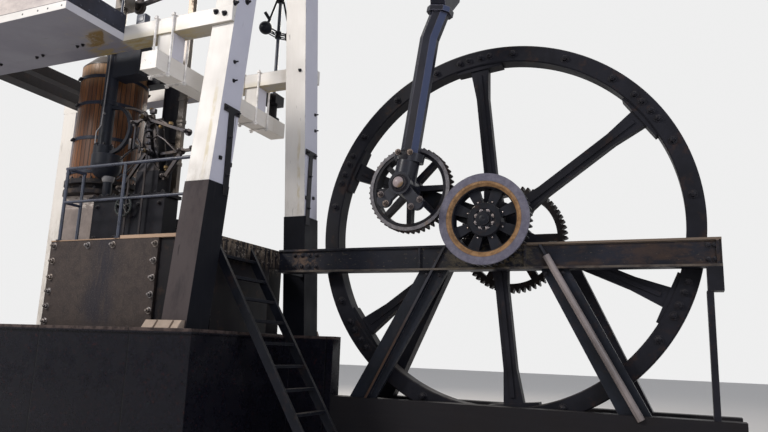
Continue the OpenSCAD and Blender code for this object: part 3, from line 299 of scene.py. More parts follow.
def deck_stain_and_shade(c, colour):
    """painted lavender-grey shade on the underside with a brown-yellow blot near the trestle; painted cool shade
    on the right faces; aged edge board with nails
    """
    under = c.under()
    # painted shade: the underside darkened to lavender grey
    colour = c.lay(under, 0.93, colour, (0.180, 0.176, 0.218))
    slant = c.total(c.x, c.times(c.total(c.y, 1.1), 0.95))
    slant = c.total(slant, c.times(c.calc("SUBTRACT", c.noise(11, 4, 0.7), 0.5), 0.42))
    blot = c.times(c.window(slant, -1.87, -1.65, 0.03), c.window(c.y, -1.31, -0.90, 0.03),
                   c.ramp(c.noise(13, 5, 0.8, twist=1.0), 0.36, 0.48))
    ring = c.times(c.window(slant, -1.93, -1.52, 0.05), c.window(c.y, -1.36, -0.86, 0.05), 0.35)
    colour = c.mix(c.times(ring, under), colour, (0.36, 0.30, 0.20))
    thin = c.times(c.window(c.x, -2.5, -1.5, 0.3), c.ramp(c.noise(3, 5, 0.7, shift=4.0), 0.55, 0.7))
    seam = c.ramp(c.off_middle(c.times(c.y, 3.1)), 0.018, 0.006)
    colour = c.lay(c.times(under, blot), 0.95, colour, (0.165, 0.096, 0.012))
    colour = c.lay(c.times(under, thin), 0.25, colour, (0.36, 0.31, 0.20))
    # painted cool shade on the faces that look to the right
    colour = c.lay(c.right(), 0.5, colour, (0.52, 0.53, 0.64))
    front = c.front()
    cloud = c.ramp(c.noise(3.5, 6, 0.7, (0.5, 1, 1), 2.0), 0.4, 0.65)
    aged = c.mix(cloud, (0.50, 0.44, 0.41), (0.36, 0.31, 0.30))
    aged = c.mix(c.ramp(c.noise(11, 5, 0.8, shift=5.0), 0.62, 0.70, 0.0, 0.7), aged, (0.13, 0.10, 0.09))
    colour = c.mix(c.times(front, c.ramp(c.z, 4.757, 4.762)), colour, aged)
    colour = c.mix(c.times(front, c.window(c.z, 4.752, 4.760, 0.002)), colour, (0.06, 0.055, 0.06))
    for x in EDGE_NAILS:
        nail = c.ramp(c.away(x, EDGE_NAILS_Z), 0.014, 0.011)
        colour = c.mix(c.times(nail, front), colour, (0.012, 0.012, 0.016))
    return c.lay(c.times(seam, under), 0.12, colour, (0.16, 0.16, 0.19))


def boot_dust_and_light(c, colour):
    """front faces of the front boots paler: painted light, with dust and scuffs in patches; nearly black on the
    sides
    """
    # painted light with dust: the front faces of the front boots lifted toward a pale mauve grey
    dust = c.times(c.ramp(c.ny, -0.5, -0.85), c.ramp(c.noise(5, 6, 0.7, (1, 1, 0.4)), 0.28, 0.55, 0.55, 1.0))
    dust = c.times(dust, c.ramp(c.y, 0.2, -0.2))
    colour = c.lay(dust, 0.85, colour, (0.070, 0.056, 0.056))
    bloom = c.times(c.ramp(c.noise(14, 4, 0.7, (1, 1, 0.1)), 0.55, 0.75), c.right())
    return c.lay(bloom, 0.25, colour, (0.05, 0.044, 0.044))


def plate_finish():
    """The cistern's cast front: warm grey-brown, mottled, with a dark run down the middle."""
    c = Coat("plate_grey", 0.6, shine=0.15)
    mottle = c.noise(9, 6, 0.75, twist=0.6)
    fleck = c.ramp(c.noise(55, 4, 0.7, shift=3.0), 0.52, 0.70)
    colour = c.mix(c.ramp(mottle, 0.3, 0.7), (0.036, 0.028, 0.027), (0.068, 0.053, 0.047))
    wavy = c.total(c.x, c.times(c.noise(3, 4, 0.6), 0.25))
    run = c.times(c.window(wavy, -1.48, -1.12, 0.14), c.ramp(c.noise(8, 5, 0.7, (1, 1, 0.15), 2.0), 0.28, 0.58))
    colour = c.lay(run, 0.8, colour, (0.017, 0.017, 0.026))
    streak = c.times(c.ramp(c.noise(15, 4, 0.7, (1, 1, 0.08), 4.0), 0.55, 0.72), c.ramp(c.x, -1.75, -2.0))
    colour = c.lay(streak, 0.4, colour, (0.022, 0.022, 0.030))
    colour = c.lay(fleck, 0.35, colour, (0.120, 0.098, 0.086))
    colour = c.lay(c.ramp(c.z, 1.36, 1.26), 0.5, colour, (0.04, 0.030, 0.026))
    height = c.total(c.times(mottle, 0.6), c.times(fleck, 0.6), c.times(c.noise(30, 5, 0.7), 0.5))
    return c.done(colour, c.ramp(mottle, 0.3, 0.7, 0.42, 0.68), height, 0.006, 0.6, 0.006)


def plinth_finish():
    """Dark polished facing in slabs: bluish, red and green specks, brown top rim, joints."""
    c = Coat("plinth_dark", 0.3, shine=0.12)
    speck = c.noise(42, 6, 0.8, twist=0.8)
    big = c.noise(5, 5, 0.7, shift=2.0)
    colour = c.mix(c.ramp(speck, 0.35, 0.75), (0.003, 0.003, 0.005), (0.011, 0.011, 0.019))
    colour = c.mix(c.ramp(c.noise(24, 5, 0.8, shift=6.0), 0.56, 0.70, 0.0, 0.6), colour, (0.045, 0.012, 0.010))
    colour = c.mix(c.ramp(c.noise(21, 5, 0.8, shift=9.0), 0.60, 0.72, 0.0, 0.5), colour, (0.012, 0.032, 0.028))
    colour = c.mix(c.ramp(big, 0.35, 0.7, 0.0, 0.4), colour, (0.006, 0.006, 0.009))
    brown = c.mix(c.ramp(c.noise(12, 4, 0.7), 0.35, 0.6), (0.030, 0.022, 0.021), (0.085, 0.062, 0.056))
    colour = c.lay(c.ramp(c.z, 1.212, 1.226), 0.9, colour, brown)
    lime = c.times(c.right(), c.ramp(c.z, 0.7, 1.25), c.ramp(c.noise(16, 5, 0.7, (1, 1, 0.15)), 0.60, 0.76))
    colour = c.lay(lime, 0.25, colour, (0.08, 0.07, 0.065))
    line = c.off_middle(c.times(c.total(c.x, 2.30), 0.8))
    joint = c.times(c.ramp(line, 0.0085, 0.004), c.ramp(c.calc("ABSOLUTE", c.nz), 0.7, 0.4))
    colour = c.lay(joint, 0.8, colour, (0.004, 0.004, 0.005))
    height = c.total(c.times(speck, 0.2), c.times(joint, -1.0), c.times(c.noise(2, 3, 0.5), 0.6))
    return c.done(colour, c.ramp(big, 0.3, 0.7, 0.16, 0.38), height, 0.003, 0.4, 0.01)


def stave_finish():
    """Varnished lagging: each stave its own brown, dark joints, streaks along the grain."""
    c = Coat("stave_brown", 0.42, shine=0.22)
    turn = c.calc("ARCTAN2", c.y, c.calc("SUBTRACT", c.x, CYLINDER_X))
    step = c.times(turn, STAVES / (2 * math.pi))
    number = c.calc("FLOOR", step)
    # the usual shader hash, a number from 0 to 1 for each stave
    tone = c.calc("FRACT", c.times(c.calc("SINE", c.times(number, 12.9898)), 43758.5))
    grain = c.noise(60, 5, 0.7, (1, 1, 0.05), twist=0.5)
    colour = c.mix(tone, (0.080, 0.027, 0.009), (0.225, 0.088, 0.029))
    colour = c.mix(c.ramp(grain, 0.38, 0.62, 0.0, 0.75), colour, (0.062, 0.024, 0.012))
    joint = c.ramp(c.off_middle(step), 0.375, 0.450)
    colour = c.lay(joint, 0.95, colour, (0.012, 0.007, 0.005))
    colour = c.lay(c.ramp(c.z, 4.40, 4.72), 0.4, colour, (0.42, 0.27, 0.15))
    grime = c.ramp(c.noise(4, 5, 0.7, (1, 1, 0.5), 3.0), 0.5, 0.7)
    colour = c.lay(grime, 0.4, colour, (0.060, 0.036, 0.026))
    height = c.total(c.times(grain, 0.3), c.times(joint, -1.2))
    return c.done(colour, c.ramp(grain, 0.3, 0.7, 0.30, 0.48), height, 0.004, 0.6, 0.0)


def sun_rings(c, colour):
    """pale lavender flat ring and a warm bronze bevel inside it"""
    r = c.away(GEAR_X, SHAFT_Z)
    wear = c.noise(20, 5, 0.7)
    silver = c.mix(c.ramp(wear, 0.35, 0.7), (0.108, 0.102, 0.134), (0.162, 0.154, 0.192))
    rust = c.ramp(c.noise(9, 6, 0.75, shift=4.0), 0.56, 0.72, 0.0, 0.35)
    silver = c.mix(rust, silver, (0.13, 0.095, 0.075))
    bronze = c.mix(c.ramp(wear, 0.3, 0.7), (0.165, 0.092, 0.045), (0.34, 0.200, 0.098))
    ring = c.mix(c.ramp(r, 0.4075, 0.4035), silver, bronze)
    ring = c.lay(c.window(r, 0.4035, 0.4075, 0.0012), 0.6, ring, (0.05, 0.04, 0.035))
    lit = c.times(c.ramp(r, 0.335, 0.339), c.ramp(c.y, 0.150, 0.146))
    return c.mix(lit, colour, ring)


def pin_cap(c, colour):
    """the domed end of the planet pin, pinkish silver with a brassy lower side, and its washer"""
    r = c.away(PLANET_X, PLANET_Z)
    ahead = c.ramp(c.y, -0.1245, -0.1265)
    colour = c.lay(c.times(c.window(r, 0.072, 0.080, 0.002), ahead), 0.6, colour, (0.10, 0.085, 0.085))
    low = c.calc("SUBTRACT", c.calc("SUBTRACT", c.x, PLANET_X), c.calc("SUBTRACT", c.z, PLANET_Z))
    tint = c.mix(c.ramp(low, 0.015, 0.075), (0.34, 0.275, 0.275), (0.20, 0.125, 0.060))
    tint = c.mix(c.ramp(c.noise(60, 4, 0.7), 0.5, 0.75, 0.0, 0.5), tint, (0.12, 0.09, 0.08))
    return c.mix(c.times(c.ramp(r, 0.062, 0.058), ahead), colour, tint)


def planet_ring(c, colour):
    """bare silver lip of the planet gear, dark red-brown tips on its teeth"""
    r = c.away(PLANET_X, PLANET_Z)
    wear = c.noise(22, 5, 0.7)
    silver = c.mix(c.ramp(wear, 0.35, 0.7), (0.120, 0.113, 0.120), (0.215, 0.202, 0.210))
    silver = c.mix(c.ramp(c.noise(8, 5, 0.7, shift=4.0), 0.55, 0.7, 0.0, 0.5), silver, (0.165, 0.110, 0.070))
    lip = c.times(c.ramp(r, 0.4325, 0.4345), c.ramp(c.y, 0.153, 0.151))
    tips = c.times(c.ramp(r, 0.462, 0.478), c.ramp(c.y, 0.158, 0.160))
    colour = c.lay(tips, 0.6, colour, (0.035, 0.016, 0.012))
    return c.mix(lip, colour, silver)


def bearer_grease(c, colour):
    """yellow-beige grease thrown on the girder below the gears, rust at its ends, dust along its lower flange, a
    painted highlight along the top flange at the right end
    """
    front = c.ramp(c.ny, -0.3, -0.7)
    smear = c.times(front, c.window(c.x, 2.30, 3.20, 0.16),
                    c.ramp(c.noise(10, 6, 0.75, (0.6, 1, 1.4), twist=1.2), 0.42, 0.60))
    colour = c.lay(smear, 0.6, colour, (0.15, 0.120, 0.075))
    scratch = c.times(front, c.ramp(c.noise(26, 3, 0.6, (0.5, 1, 1.5), 5.0, 2.0), 0.66, 0.70))
    colour = c.lay(scratch, 0.6, colour, (0.20, 0.165, 0.11))
    west = c.times(front, c.window(c.x, 0.30, 0.62, 0.06), c.ramp(c.noise(13, 5, 0.75, shift=2.0), 0.46, 0.6))
    colour = c.lay(west, 0.8, colour, (0.12, 0.080, 0.058))
    east = c.times(front, c.ramp(c.x, 3.0, 3.4), c.ramp(c.noise(7, 6, 0.75, (0.4, 1, 1), 3.0), 0.42, 0.62))
    colour = c.lay(east, 0.55, colour, (0.060, 0.036, 0.024))
    edge = c.times(c.window(c.z, 2.000, 2.024, 0.004), front, c.ramp(c.noise(3, 4, 0.6), 0.35, 0.6))
    colour = c.lay(edge, 0.55, colour, (0.17, 0.14, 0.11))
    # painted highlight: a pale line along the top flange's front at the right end
    top = c.times(c.window(c.z, 2.246, 2.28, 0.003), front, c.ramp(c.x, 2.9, 3.2))
    return c.lay(top, 0.7, colour, (0.20, 0.15, 0.11))


def strut_highlight_and_dust(c, colour):
    """a painted pale highlight down the front of the rib of each strut, browner lower down; front faces paler in
    patches, dust and painted light
    """
    front = c.front()
    # painted highlight down the rib's front, browner lower down
    line = c.mix(c.ramp(c.z, 1.75, 1.15), (0.040, 0.040, 0.048), (0.055, 0.032, 0.022))
    rib = c.times(front, c.ramp(c.y, 0.385, 0.375), c.ramp(c.noise(9, 4, 0.7, (1, 1, 0.2)), 0.25, 0.5))
    colour = c.mix(rib, colour, line)
    # dust and painted light: front faces paler in patches
    dust = c.times(front, c.ramp(c.noise(4, 5, 0.7, (1, 1, 0.5)), 0.5, 0.7))
    return c.lay(dust, 0.3, colour, (0.028, 0.023, 0.023))


def bar_line(c, colour):
    """fine dark joint along the pale raking bar, lighter toward its top"""
    middle = c.total(4.191, c.times(c.calc("SUBTRACT", c.z, 0.59), -0.5482))
    joint = c.window(c.calc("SUBTRACT", c.x, middle), -0.020, -0.012, 0.003)
    colour = c.lay(joint, 0.7, colour, (0.06, 0.05, 0.05))
    return c.lay(c.ramp(c.z, 1.2, 2.0), 0.35, colour, (0.30, 0.255, 0.245))


def rod_painted_light(c, colour):
    """painted blue reflection on one bevel, painted shade darkening the front, painted pale highlights on the
    corners
    """
    # painted reflection: blue on the bevel that looks right and forward
    blue_reflection = c.times(c.window(c.nx, 0.45, 0.88, 0.05), c.ramp(c.ny, -0.3, -0.5))
    colour = c.lay(blue_reflection, 0.9, colour, (0.066, 0.082, 0.150))
    # painted shade: the front face darkened in patches
    front = c.times(c.ramp(c.ny, -0.85, -0.95), c.ramp(c.noise(5, 4, 0.6, (1, 1, 0.1)), 0.3, 0.7))
    colour = c.lay(front, 0.5, colour, (0.018, 0.015, 0.016))
    # painted highlights: pale lavender along the corners
    return c.lay(c.edges(0.012), 0.8, colour, (0.26, 0.25, 0.32))


def base_paint(c, colour):
    """black flanges over a warm grey block, with flaked cream paint along the block's top edge"""
    flake = c.times(c.window(c.z, 2.80, 2.955, 0.03), c.ramp(c.noise(12, 6, 0.8, (0.6, 0.6, 1.6)), 0.44, 0.52))
    colour = c.lay(flake, 0.85, colour, (0.56, 0.50, 0.45))
    iron = c.mix(c.ramp(c.noise(7, 5, 0.7), 0.45, 0.65), (0.016, 0.015, 0.018), (0.060, 0.045, 0.036))
    return c.mix(c.ramp(c.z, 2.962, 2.968), colour, iron)


def box_lime(c, colour):
    """lime and rust runs from the top edge of the cistern on its right side"""
    side = c.right()
    run = c.times(side, c.ramp(c.z, 1.95, 2.24), c.ramp(c.noise(20, 5, 0.75, (1, 1, 0.12)), 0.46, 0.60))
    colour = c.lay(run, 0.75, colour, (0.26, 0.20, 0.145))
    spot = c.times(side, c.ramp(c.z, 2.02, 2.10), c.ramp(c.noise(34, 4, 0.8, shift=6.0), 0.56, 0.64))
    return c.lay(spot, 0.8, colour, (0.38, 0.33, 0.28))


WHITE = (0.80, 0.765, 0.72)
WOOD = (0.56, 0.50, 0.44)
post_white = painted_timber("post_white", "z", WHITE, WOOD, 0.10, post_stain_and_shade)
beam_white = painted_timber("beam_white", "y", WHITE, WOOD, 0.14)
sill_white = painted_timber("sill_white", "x", WHITE, WOOD, 0.14, beam_stain_and_shade)
deck_white = painted_timber("deck_white", "x", (0.62, 0.60, 0.58), (0.46, 0.43, 0.40), 0.16, deck_stain_and_shade)
boot_black = painted_timber("boot_black", "z", (0.008, 0.009, 0.013), (0.024, 0.021, 0.022), 0.15, boot_dust_and_light,
                            shine=0.10)
sole_black = painted_timber("sole_black", "x", (0.014, 0.013, 0.015), (0.032, 0.026, 0.024), 0.3, rough=0.6,
                            shine=0.10)
great_beam = painted_timber("great_beam", "x", (0.050, 0.046, 0.044), (0.085, 0.066, 0.052), 0.3, rough=0.5,
                            shine=0.10)
tan_board = painted_timber("tan_board", "x", (0.40, 0.265, 0.175), (0.30, 0.19, 0.12), 0.35, rough=0.65)

black_iron = cast("black_iron", (0.010, 0.010, 0.014))
wheel_iron = cast("wheel_iron", (0.012, 0.012, 0.016), rust=0.22, rough=0.5, dust=0.2, edge=0.0, shine=0.10,
                  round_off=0.0)
gear_iron = cast("gear_iron", (0.008, 0.009, 0.013), (0.10, 0.09, 0.09), 0.2, 0.36, 0.15, scale=1.6)
sun_iron = cast("sun_iron", (0.010, 0.011, 0.016), (0.10, 0.09, 0.09), 0.2, 0.36, 0.15, sun_rings, scale=1.6)
planet_iron = cast("planet_iron", (0.009, 0.009, 0.013), (0.10, 0.08, 0.07), 0.2, 0.36, 0.15, planet_ring,
                   scale=1.6)
tooth_iron = cast("tooth_iron", (0.013, 0.010, 0.010), (0.07, 0.045, 0.035), 0.6, 0.42, 0.1, scale=2.0)
hoop_iron = cast("hoop_iron", (0.020, 0.024, 0.038), (0.12, 0.13, 0.17), 0.15, 0.36, scale=2.0)
pipe_iron = cast("pipe_iron", (0.012, 0.014, 0.021), (0.08, 0.09, 0.13), 0.12, 0.48, 0.15)
chest_iron = cast("chest_iron", (0.006, 0.006, 0.010), (0.06, 0.055, 0.06), 0.12, 0.36, 0.15)
bearer_iron = cast("bearer_iron", (0.011, 0.012, 0.018), rust=0.15, rough=0.46, dust=0.4, extra=bearer_grease)
strut_iron = cast("strut_iron", (0.011, 0.013, 0.019), rust=0.12, rough=0.46, dust=0.25, extra=strut_highlight_and_dust)
bar_pale = cast("bar_pale", (0.190, 0.158, 0.150), (0.36, 0.32, 0.31), 0.30, 0.45, 0.1, bar_line, shine=0.5)
# the worn colour (0.26, 0.25, 0.32) rubbed onto the rod's edges is a painted pale highlight
rod_paint = cast("rod_paint", (0.011, 0.012, 0.021), (0.26, 0.25, 0.32), 0.05, 0.38, 0.05, rod_painted_light, 0.06,
                 edge=0.2, shine=0.12)
foot_iron = cast("foot_iron", (0.013, 0.014, 0.021), (0.13, 0.13, 0.16), 0.12, 0.30, 0.1, pin_cap, 0.25, 1.6)
cistern_iron = cast("cistern_iron", (0.007, 0.006, 0.008), rust=0.25, rough=0.5, dust=0.25, extra=box_lime)
channel_iron = cast("channel_iron", (0.034, 0.036, 0.050), (0.12, 0.12, 0.14), 0.2, 0.5, 0.3)
joist_iron = cast("joist_iron", (0.028, 0.025, 0.028), (0.10, 0.09, 0.09), 0.3, 0.55)
rail_paint = cast("rail_paint", (0.030, 0.037, 0.062), (0.16, 0.17, 0.22), 0.12, 0.32, 0.15, scale=3.0, shine=0.5)
stair_iron = cast("stair_iron", (0.006, 0.007, 0.011), (0.10, 0.10, 0.12), 0.15, 0.42, 0.2)
foot_cream = cast("foot_cream", (0.37, 0.29, 0.23), (0.30, 0.25, 0.21), 0.25, 0.5, 0.15)
base_grey = cast("base_grey", (0.235, 0.198, 0.182), (0.24, 0.21, 0.19), 0.25, 0.6, 0.3, base_paint)
cover_brown = cast("cover_brown", (0.050, 0.038, 0.032), (0.20, 0.16, 0.13), 0.3, 0.35, 0.3)
bolt_black = cast("bolt_black", (0.008, 0.008, 0.012), (0.12, 0.11, 0.12), 0.15, 0.38, scale=4.0)
bolt_white = cast("bolt_white", (0.86, 0.83, 0.80), (0.30, 0.28, 0.27), 0.15, 0.5, scale=4.0, shine=0.4)
dull_grey = cast("dull_grey", (0.17, 0.165, 0.17), (0.34, 0.33, 0.34), 0.25, 0.42, scale=3.0, shine=0.5)
# the pale worn colour laid at 0.9 on the hand wheel's edges is wear and a painted highlight
wheel_green = cast("wheel_green", (0.022, 0.030, 0.030), (0.36, 0.31, 0.29), 0.2, 0.40, 0.2, scale=3.0, edge=0.9)
governor_iron = cast("governor_iron", (0.007, 0.008, 0.013), (0.10, 0.10, 0.13), 0.1, 0.30, 0.1, scale=3.0)

worn_steel = bright("worn_steel", (0.030, 0.029, 0.034), 0.38, 0.04, 0.4)
plug_steel = bright("plug_steel", (0.115, 0.105, 0.098), 0.36, 0.12, 0.4)
pin_steel = bright("pin_steel", (0.34, 0.30, 0.30), 0.26, 0.30, 0.25)
foot_steel = bright("foot_steel", (0.115, 0.098, 0.10), 0.32, 0.15, 0.3)
stud_steel = bright("stud_steel", (0.20, 0.185, 0.185), 0.36, 0.15, 0.45)
old_brass = bright("old_brass", (0.085, 0.060, 0.028), 0.45, 0.25, 0.7)

FINISHES = (
    (plinth_finish(), "plinth"), (plate_finish(), "cistern_front_plate"), (stave_finish(), "cylinder_lagging"),
    (cistern_iron, "cistern end_tank"), (tan_board, "cistern_boards"), (base_grey, "cylinder_base"),
    (post_white, "front_post back_post end_posts spacer_blocks"), (beam_white, "head_beams cross_beam"),
    (sill_white, "spring_beams"), (deck_white, "platform"), (boot_black, "post_boots"), (foot_cream, "post_feet"),
    (great_beam, "beam"), (sole_black, "sole_beams"), (bolt_white, "tie_rods"), (channel_iron, "deck_channel"),
    (joist_iron, "floor_joists"), (hoop_iron, "cylinder_hoops"), (cover_brown, "cylinder_cover"),
    (pipe_iron, "steam_pipe"), (chest_iron, "nozzle_chests air_pump"), (worn_steel, "motion_links valve_levers"),
    (plug_steel, "piston_rod pump_rods"), (rail_paint, "handrail governor_spindle"), (stair_iron, "stair"),
    (bearer_iron, "bearer"), (strut_iron, "struts"), (bar_pale, "strut_bar"), (wheel_iron, "rim wheel_arms"),
    (gear_iron, "shaft orbit_link"), (sun_iron, "sun_gear sun_shroud"), (tooth_iron, "drive_gear"),
    (planet_iron, "planet_gear"), (rod_paint, "connecting_rod"), (foot_iron, "rod_foot"),
    (black_iron, "post_straps trunnion_bearings trunnion beam_straps right_post shaft_pedestals rear_frame "
                 "governor_stand governor_balls"),
)
for finish, nodes in FINISHES:
    for name in nodes.split():
        NODES[name].data.materials.clear()
        NODES[name].data.materials.append(finish)


# ---------- small parts ----------
def polar(r, degrees, y):
    """a place in the wheel's plane, round the shaft"""
    a = math.radians(degrees)
    return (GEAR_X + r * math.cos(a), y, SHAFT_Z + r * math.sin(a))


def turned(r, tall, first, step, count, power=1.0):
    """the profile of a ball or a swelling of radius r, 2 * tall high, through count angles from first"""
    angles = (math.radians(first + step * k) for k in range(count))
    return [(0, -tall)] + [(r * math.cos(t) ** power, tall * math.sin(t)) for t in angles] + [(0, tall)]


class Piece:
    """A joined mesh of small parts in the part's frame."""

    def __init__(self, name, body, finish, slot):
        self.name, self.body, self.finish, self.slot = name, body, finish, slot
        self.bm = bmesh.new()

    def ring(self, centre, u, v, r, sides, turn=0.0):
        """new corners round a centre, in the plane of u and v"""
        return [self.bm.verts.new(centre + (u * math.cos(a) + v * math.sin(a)) * r)
                for a in (turn + 2 * math.pi * k / sides for k in range(sides))]

    def skin(self, rings, sides):
        """faces from each ring to the next; a ring of one corner is a point on the axis"""
        for low, high in zip(rings, rings[1:]):
            for k in range(sides):
                n = (k + 1) % sides
                if len(low) == len(high) == 1:
                    continue
                if len(low) == 1:
                    self.bm.faces.new((low[0], high[k], high[n]))
                elif len(high) == 1:
                    self.bm.faces.new((low[k], low[n], high[0]))
                else:
                    self.bm.faces.new((low[k], low[n], high[n], high[k]))

    def lathe(self, at, axis, profile, sides=16, turn=0.0):
        """a turned or many-sided shape: profile is (radius, height) from the foot up"""
        axis = Vector(axis).normalized()
        u = axis.orthogonal().normalized()
        v = axis.cross(u)
        rings = []
        for r, h in profile:
            c = Vector(at) + axis * h
            rings.append([self.bm.verts.new(c)] if r < 1e-6 else self.ring(c, u, v, r, sides, turn))
        self.skin(rings, sides)

    def bolt(self, at, axis, size=0.045, tail=0.35):
        """hexagon nut on a washer with the end of the bolt standing out"""
        turn = random.uniform(0, 1.0)
        self.lathe(at, axis, [
            (0, 0), (size * 0.78, 0), (size * 0.78, size * 0.08), (size * 0.74, size * 0.11),
            (0, size * 0.11)], 18)
        base = size * 0.10
        s = size * 0.56
        top = base + s
        self.lathe(at, axis, [(0, base), (s, base), (s, base + size * 0.46), (s * 0.86, top), (0, top)], 6, turn)
        r = size * 0.30
        h = base + size * (0.56 + tail)
        self.lathe(at, axis, [(0, base), (r, base), (r, h - size * 0.06), (r * 0.8, h), (0, h)], 10)

    def rivet(self, at, axis, size=0.03):
        r = size / 2
        self.lathe(at, axis, [
            (0, -0.002), (r, -0.002), (r, 0), (r * 0.92, r * 0.35), (r * 0.7, r * 0.62), (r * 0.38, r * 0.78),
            (0, r * 0.84)], 12)

    def rod(self, a, b, r, sides=12):
        a, b = Vector(a), Vector(b)
        length = (b - a).length
        self.lathe(a, b - a, [(0, 0), (r, 0), (r, length), (0, length)], sides)

    def path(self, points, r, sides=10):
        """a bent round bar through the points"""
        points = [Vector(p) for p in points]
        rings = []
        for i, p in enumerate(points):
            along = (points[min(i + 1, len(points) - 1)] - points[max(i - 1, 0)]).normalized()
            u = along.cross(Vector((0.31, 0.87, 0.38))).normalized()
            rings.append(self.ring(p, u, along.cross(u), r, sides))
        self.skin(rings, sides)
        self.bm.faces.new(rings[0][::-1])
        self.bm.faces.new(rings[-1])

    def box(self, low, high, cut):
        made = bmesh.ops.create_cube(self.bm, size=1.0)
        for v in made["verts"]:
            v.co = Vector((low[i] + (v.co[i] + 0.5) * (high[i] - low[i]) for i in range(3)))
        lines = {e for v in made["verts"] for e in v.link_edges}
        bmesh.ops.bevel(self.bm, geom=list(lines), offset=cut, segments=2, profile=0.6, affect="EDGES")

    def done(self):
        bmesh.ops.recalc_face_normals(self.bm, faces=self.bm.faces)
        mesh = bpy.data.meshes.new(self.name)
        self.bm.to_mesh(mesh)
        self.bm.free()
        mesh.materials.append(self.finish)
        made = bpy.data.objects.new(self.name, mesh)
        bpy.context.scene.collection.objects.link(made)
        mesh.shade_smooth()
        mesh.set_sharp_from_angle(angle=math.radians(32))
        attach(made, self.body)
        return made


def wheel_bolts():
    """joint bolts of the rim by each arm and between the arms, on both faces"""
    p = Piece("rim_bolts", "flywheel", bolt_black, "iron")
    for arm in range(6):
        for size, steps in ((0.055, (-4.2, -1.0, 2.9, 6.1)), (0.06, (14.6, 31.0, 48.0))):
            for step in steps:
                for y, way in ((0.60, FRONT), (0.80, BACK)):
                    p.bolt(polar(RIM_BOLTS_R, 36 + 60 * arm + step, y), way, size, 0.3)
    p.done()


def post_fixings():
    """studs, strap bolts and small fittings on the posts, bolts through the spring beams"""
    p = Piece("post_fixings", "frame", bolt_black, "iron")
    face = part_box("front_post")[1].x
    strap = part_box("post_straps")[1].x
    for y, z in ((-0.890, 4.204), (-0.878, 3.987), (0.934, 4.209), (0.959, 3.990), (0.785, 3.631)):
        p.bolt((face, y, z), SIDE, 0.030, 1.1)
    for side in (-1, 1):
        for y, z in ((0.975, 3.637), (0.765, 3.637), (0.875, 3.330), (0.875, 2.900)):
            p.bolt((strap, side * y, z), SIDE, 0.028, 0.5)
        for y, half, low, high, out in ((1.004, 0.020, 3.045, 3.085, 0.022), (0.817, 0.016, 3.010, 3.058, 0.018)):
            p.box((face, side * y - half, low), (face + out, side * y + half, high), 0.004)
    for y, z in ((-0.972, 4.881), (-0.754, 5.003)):
        p.bolt((face, y, z), SIDE, 0.046, 0.5)
    p.bolt((0.085, 0.628, 4.735), FRONT, 0.044, 0.5)
    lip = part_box("spring_beams")[0].y
    for x, z in ((-0.060, 4.795), (0.060, 4.757), (-4.22, 4.80), (-4.34, 4.72)):
        p.bolt((x, lip, z), FRONT, 0.044)
        p.bolt((x, -lip, z), BACK, 0.044)
    p.done()


def platform_fixings():
    """bolts under the platform, rivets on its channel, the little rail and box on its end"""
    p = Piece("platform_bolts", "frame", bolt_black, "iron")
    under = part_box("platform")[0].z
    for x, y in ((-3.660, -1.010), (-3.530, -1.020), (-2.860, -1.021), (-2.730, -1.039), (-2.078, -1.086),
                 (-1.977, -1.095)):
        p.bolt((x, y, under), DOWN, 0.032, 0.2)
    p.done()
    q = Piece("channel_rivets", "frame", rail_paint, "painted_iron")
    low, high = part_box("deck_channel")
    for k in range(7):
        for z in (high.z - 0.035, low.z + 0.035):
            q.rivet((high.x, low.y + 0.07 + 0.118 * k, z), SIDE, 0.022)
    q.done()
    r = Piece("platform_rail", "frame", rail_paint, "painted_iron")
    x, foot, top = -1.455, high.z, 5.86
    near, far, middle = -1.80, -1.04, 0.5 * (top + foot)
    for y in (near, -1.42, far):
        r.rod((x, y, foot - 0.01), (x, y, top), 0.016)
        r.lathe((x, y, foot), UP, [(0, 0), (0.034, 0), (0.034, 0.012), (0.020, 0.022), (0, 0.022)], 16)
    r.path([(x, near, top), (x, far, top)], 0.018)
    r.path([(x, near, middle), (x, far, middle)], 0.014)
    r.rod((x, near, foot), (x, -1.42, middle), 0.012)
    r.box((-1.30, -0.955, 4.850), (-1.16, -0.865, 5.005), 0.012)
    r.box((-1.275, -0.960, 4.905), (-1.185, -0.953, 4.975), 0.003)
    r.done()


def plate_studs():
    """cap nuts round the cistern's front plate, rivets on the back and on the end tank"""
    p = Piece("plate_studs", "frame", stud_steel, "bright_iron")
    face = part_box("cistern_front_plate")[0].y
    places = [(-2.240, z) for z in (2.198, 2.017, 1.825, 1.659, 1.483, 1.309)]
    places += [(-0.690, z) for z in (2.180, 1.992, 1.804, 1.618, 1.445, 1.290)]
    places += [(-1.698, 2.188), (-1.312, 2.186)]
    for x, z in places:
        p.bolt((x, face, z), FRONT, 0.050, 0.45)
    p.done()
    q = Piece("cistern_rivets", "frame", bolt_black, "iron")
    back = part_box("cistern")[1].y
    for k in range(16):
        for z in (2.20, 1.31):
            q.rivet((-2.20 + 0.12 * k, back, z), BACK, 0.032)
    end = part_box("end_tank")[1].x
    for k in range(14):
        for z in (2.225, 2.065):
            q.rivet((end, -0.80 + 0.072 * k, z), SIDE, 0.022)
    q.done()


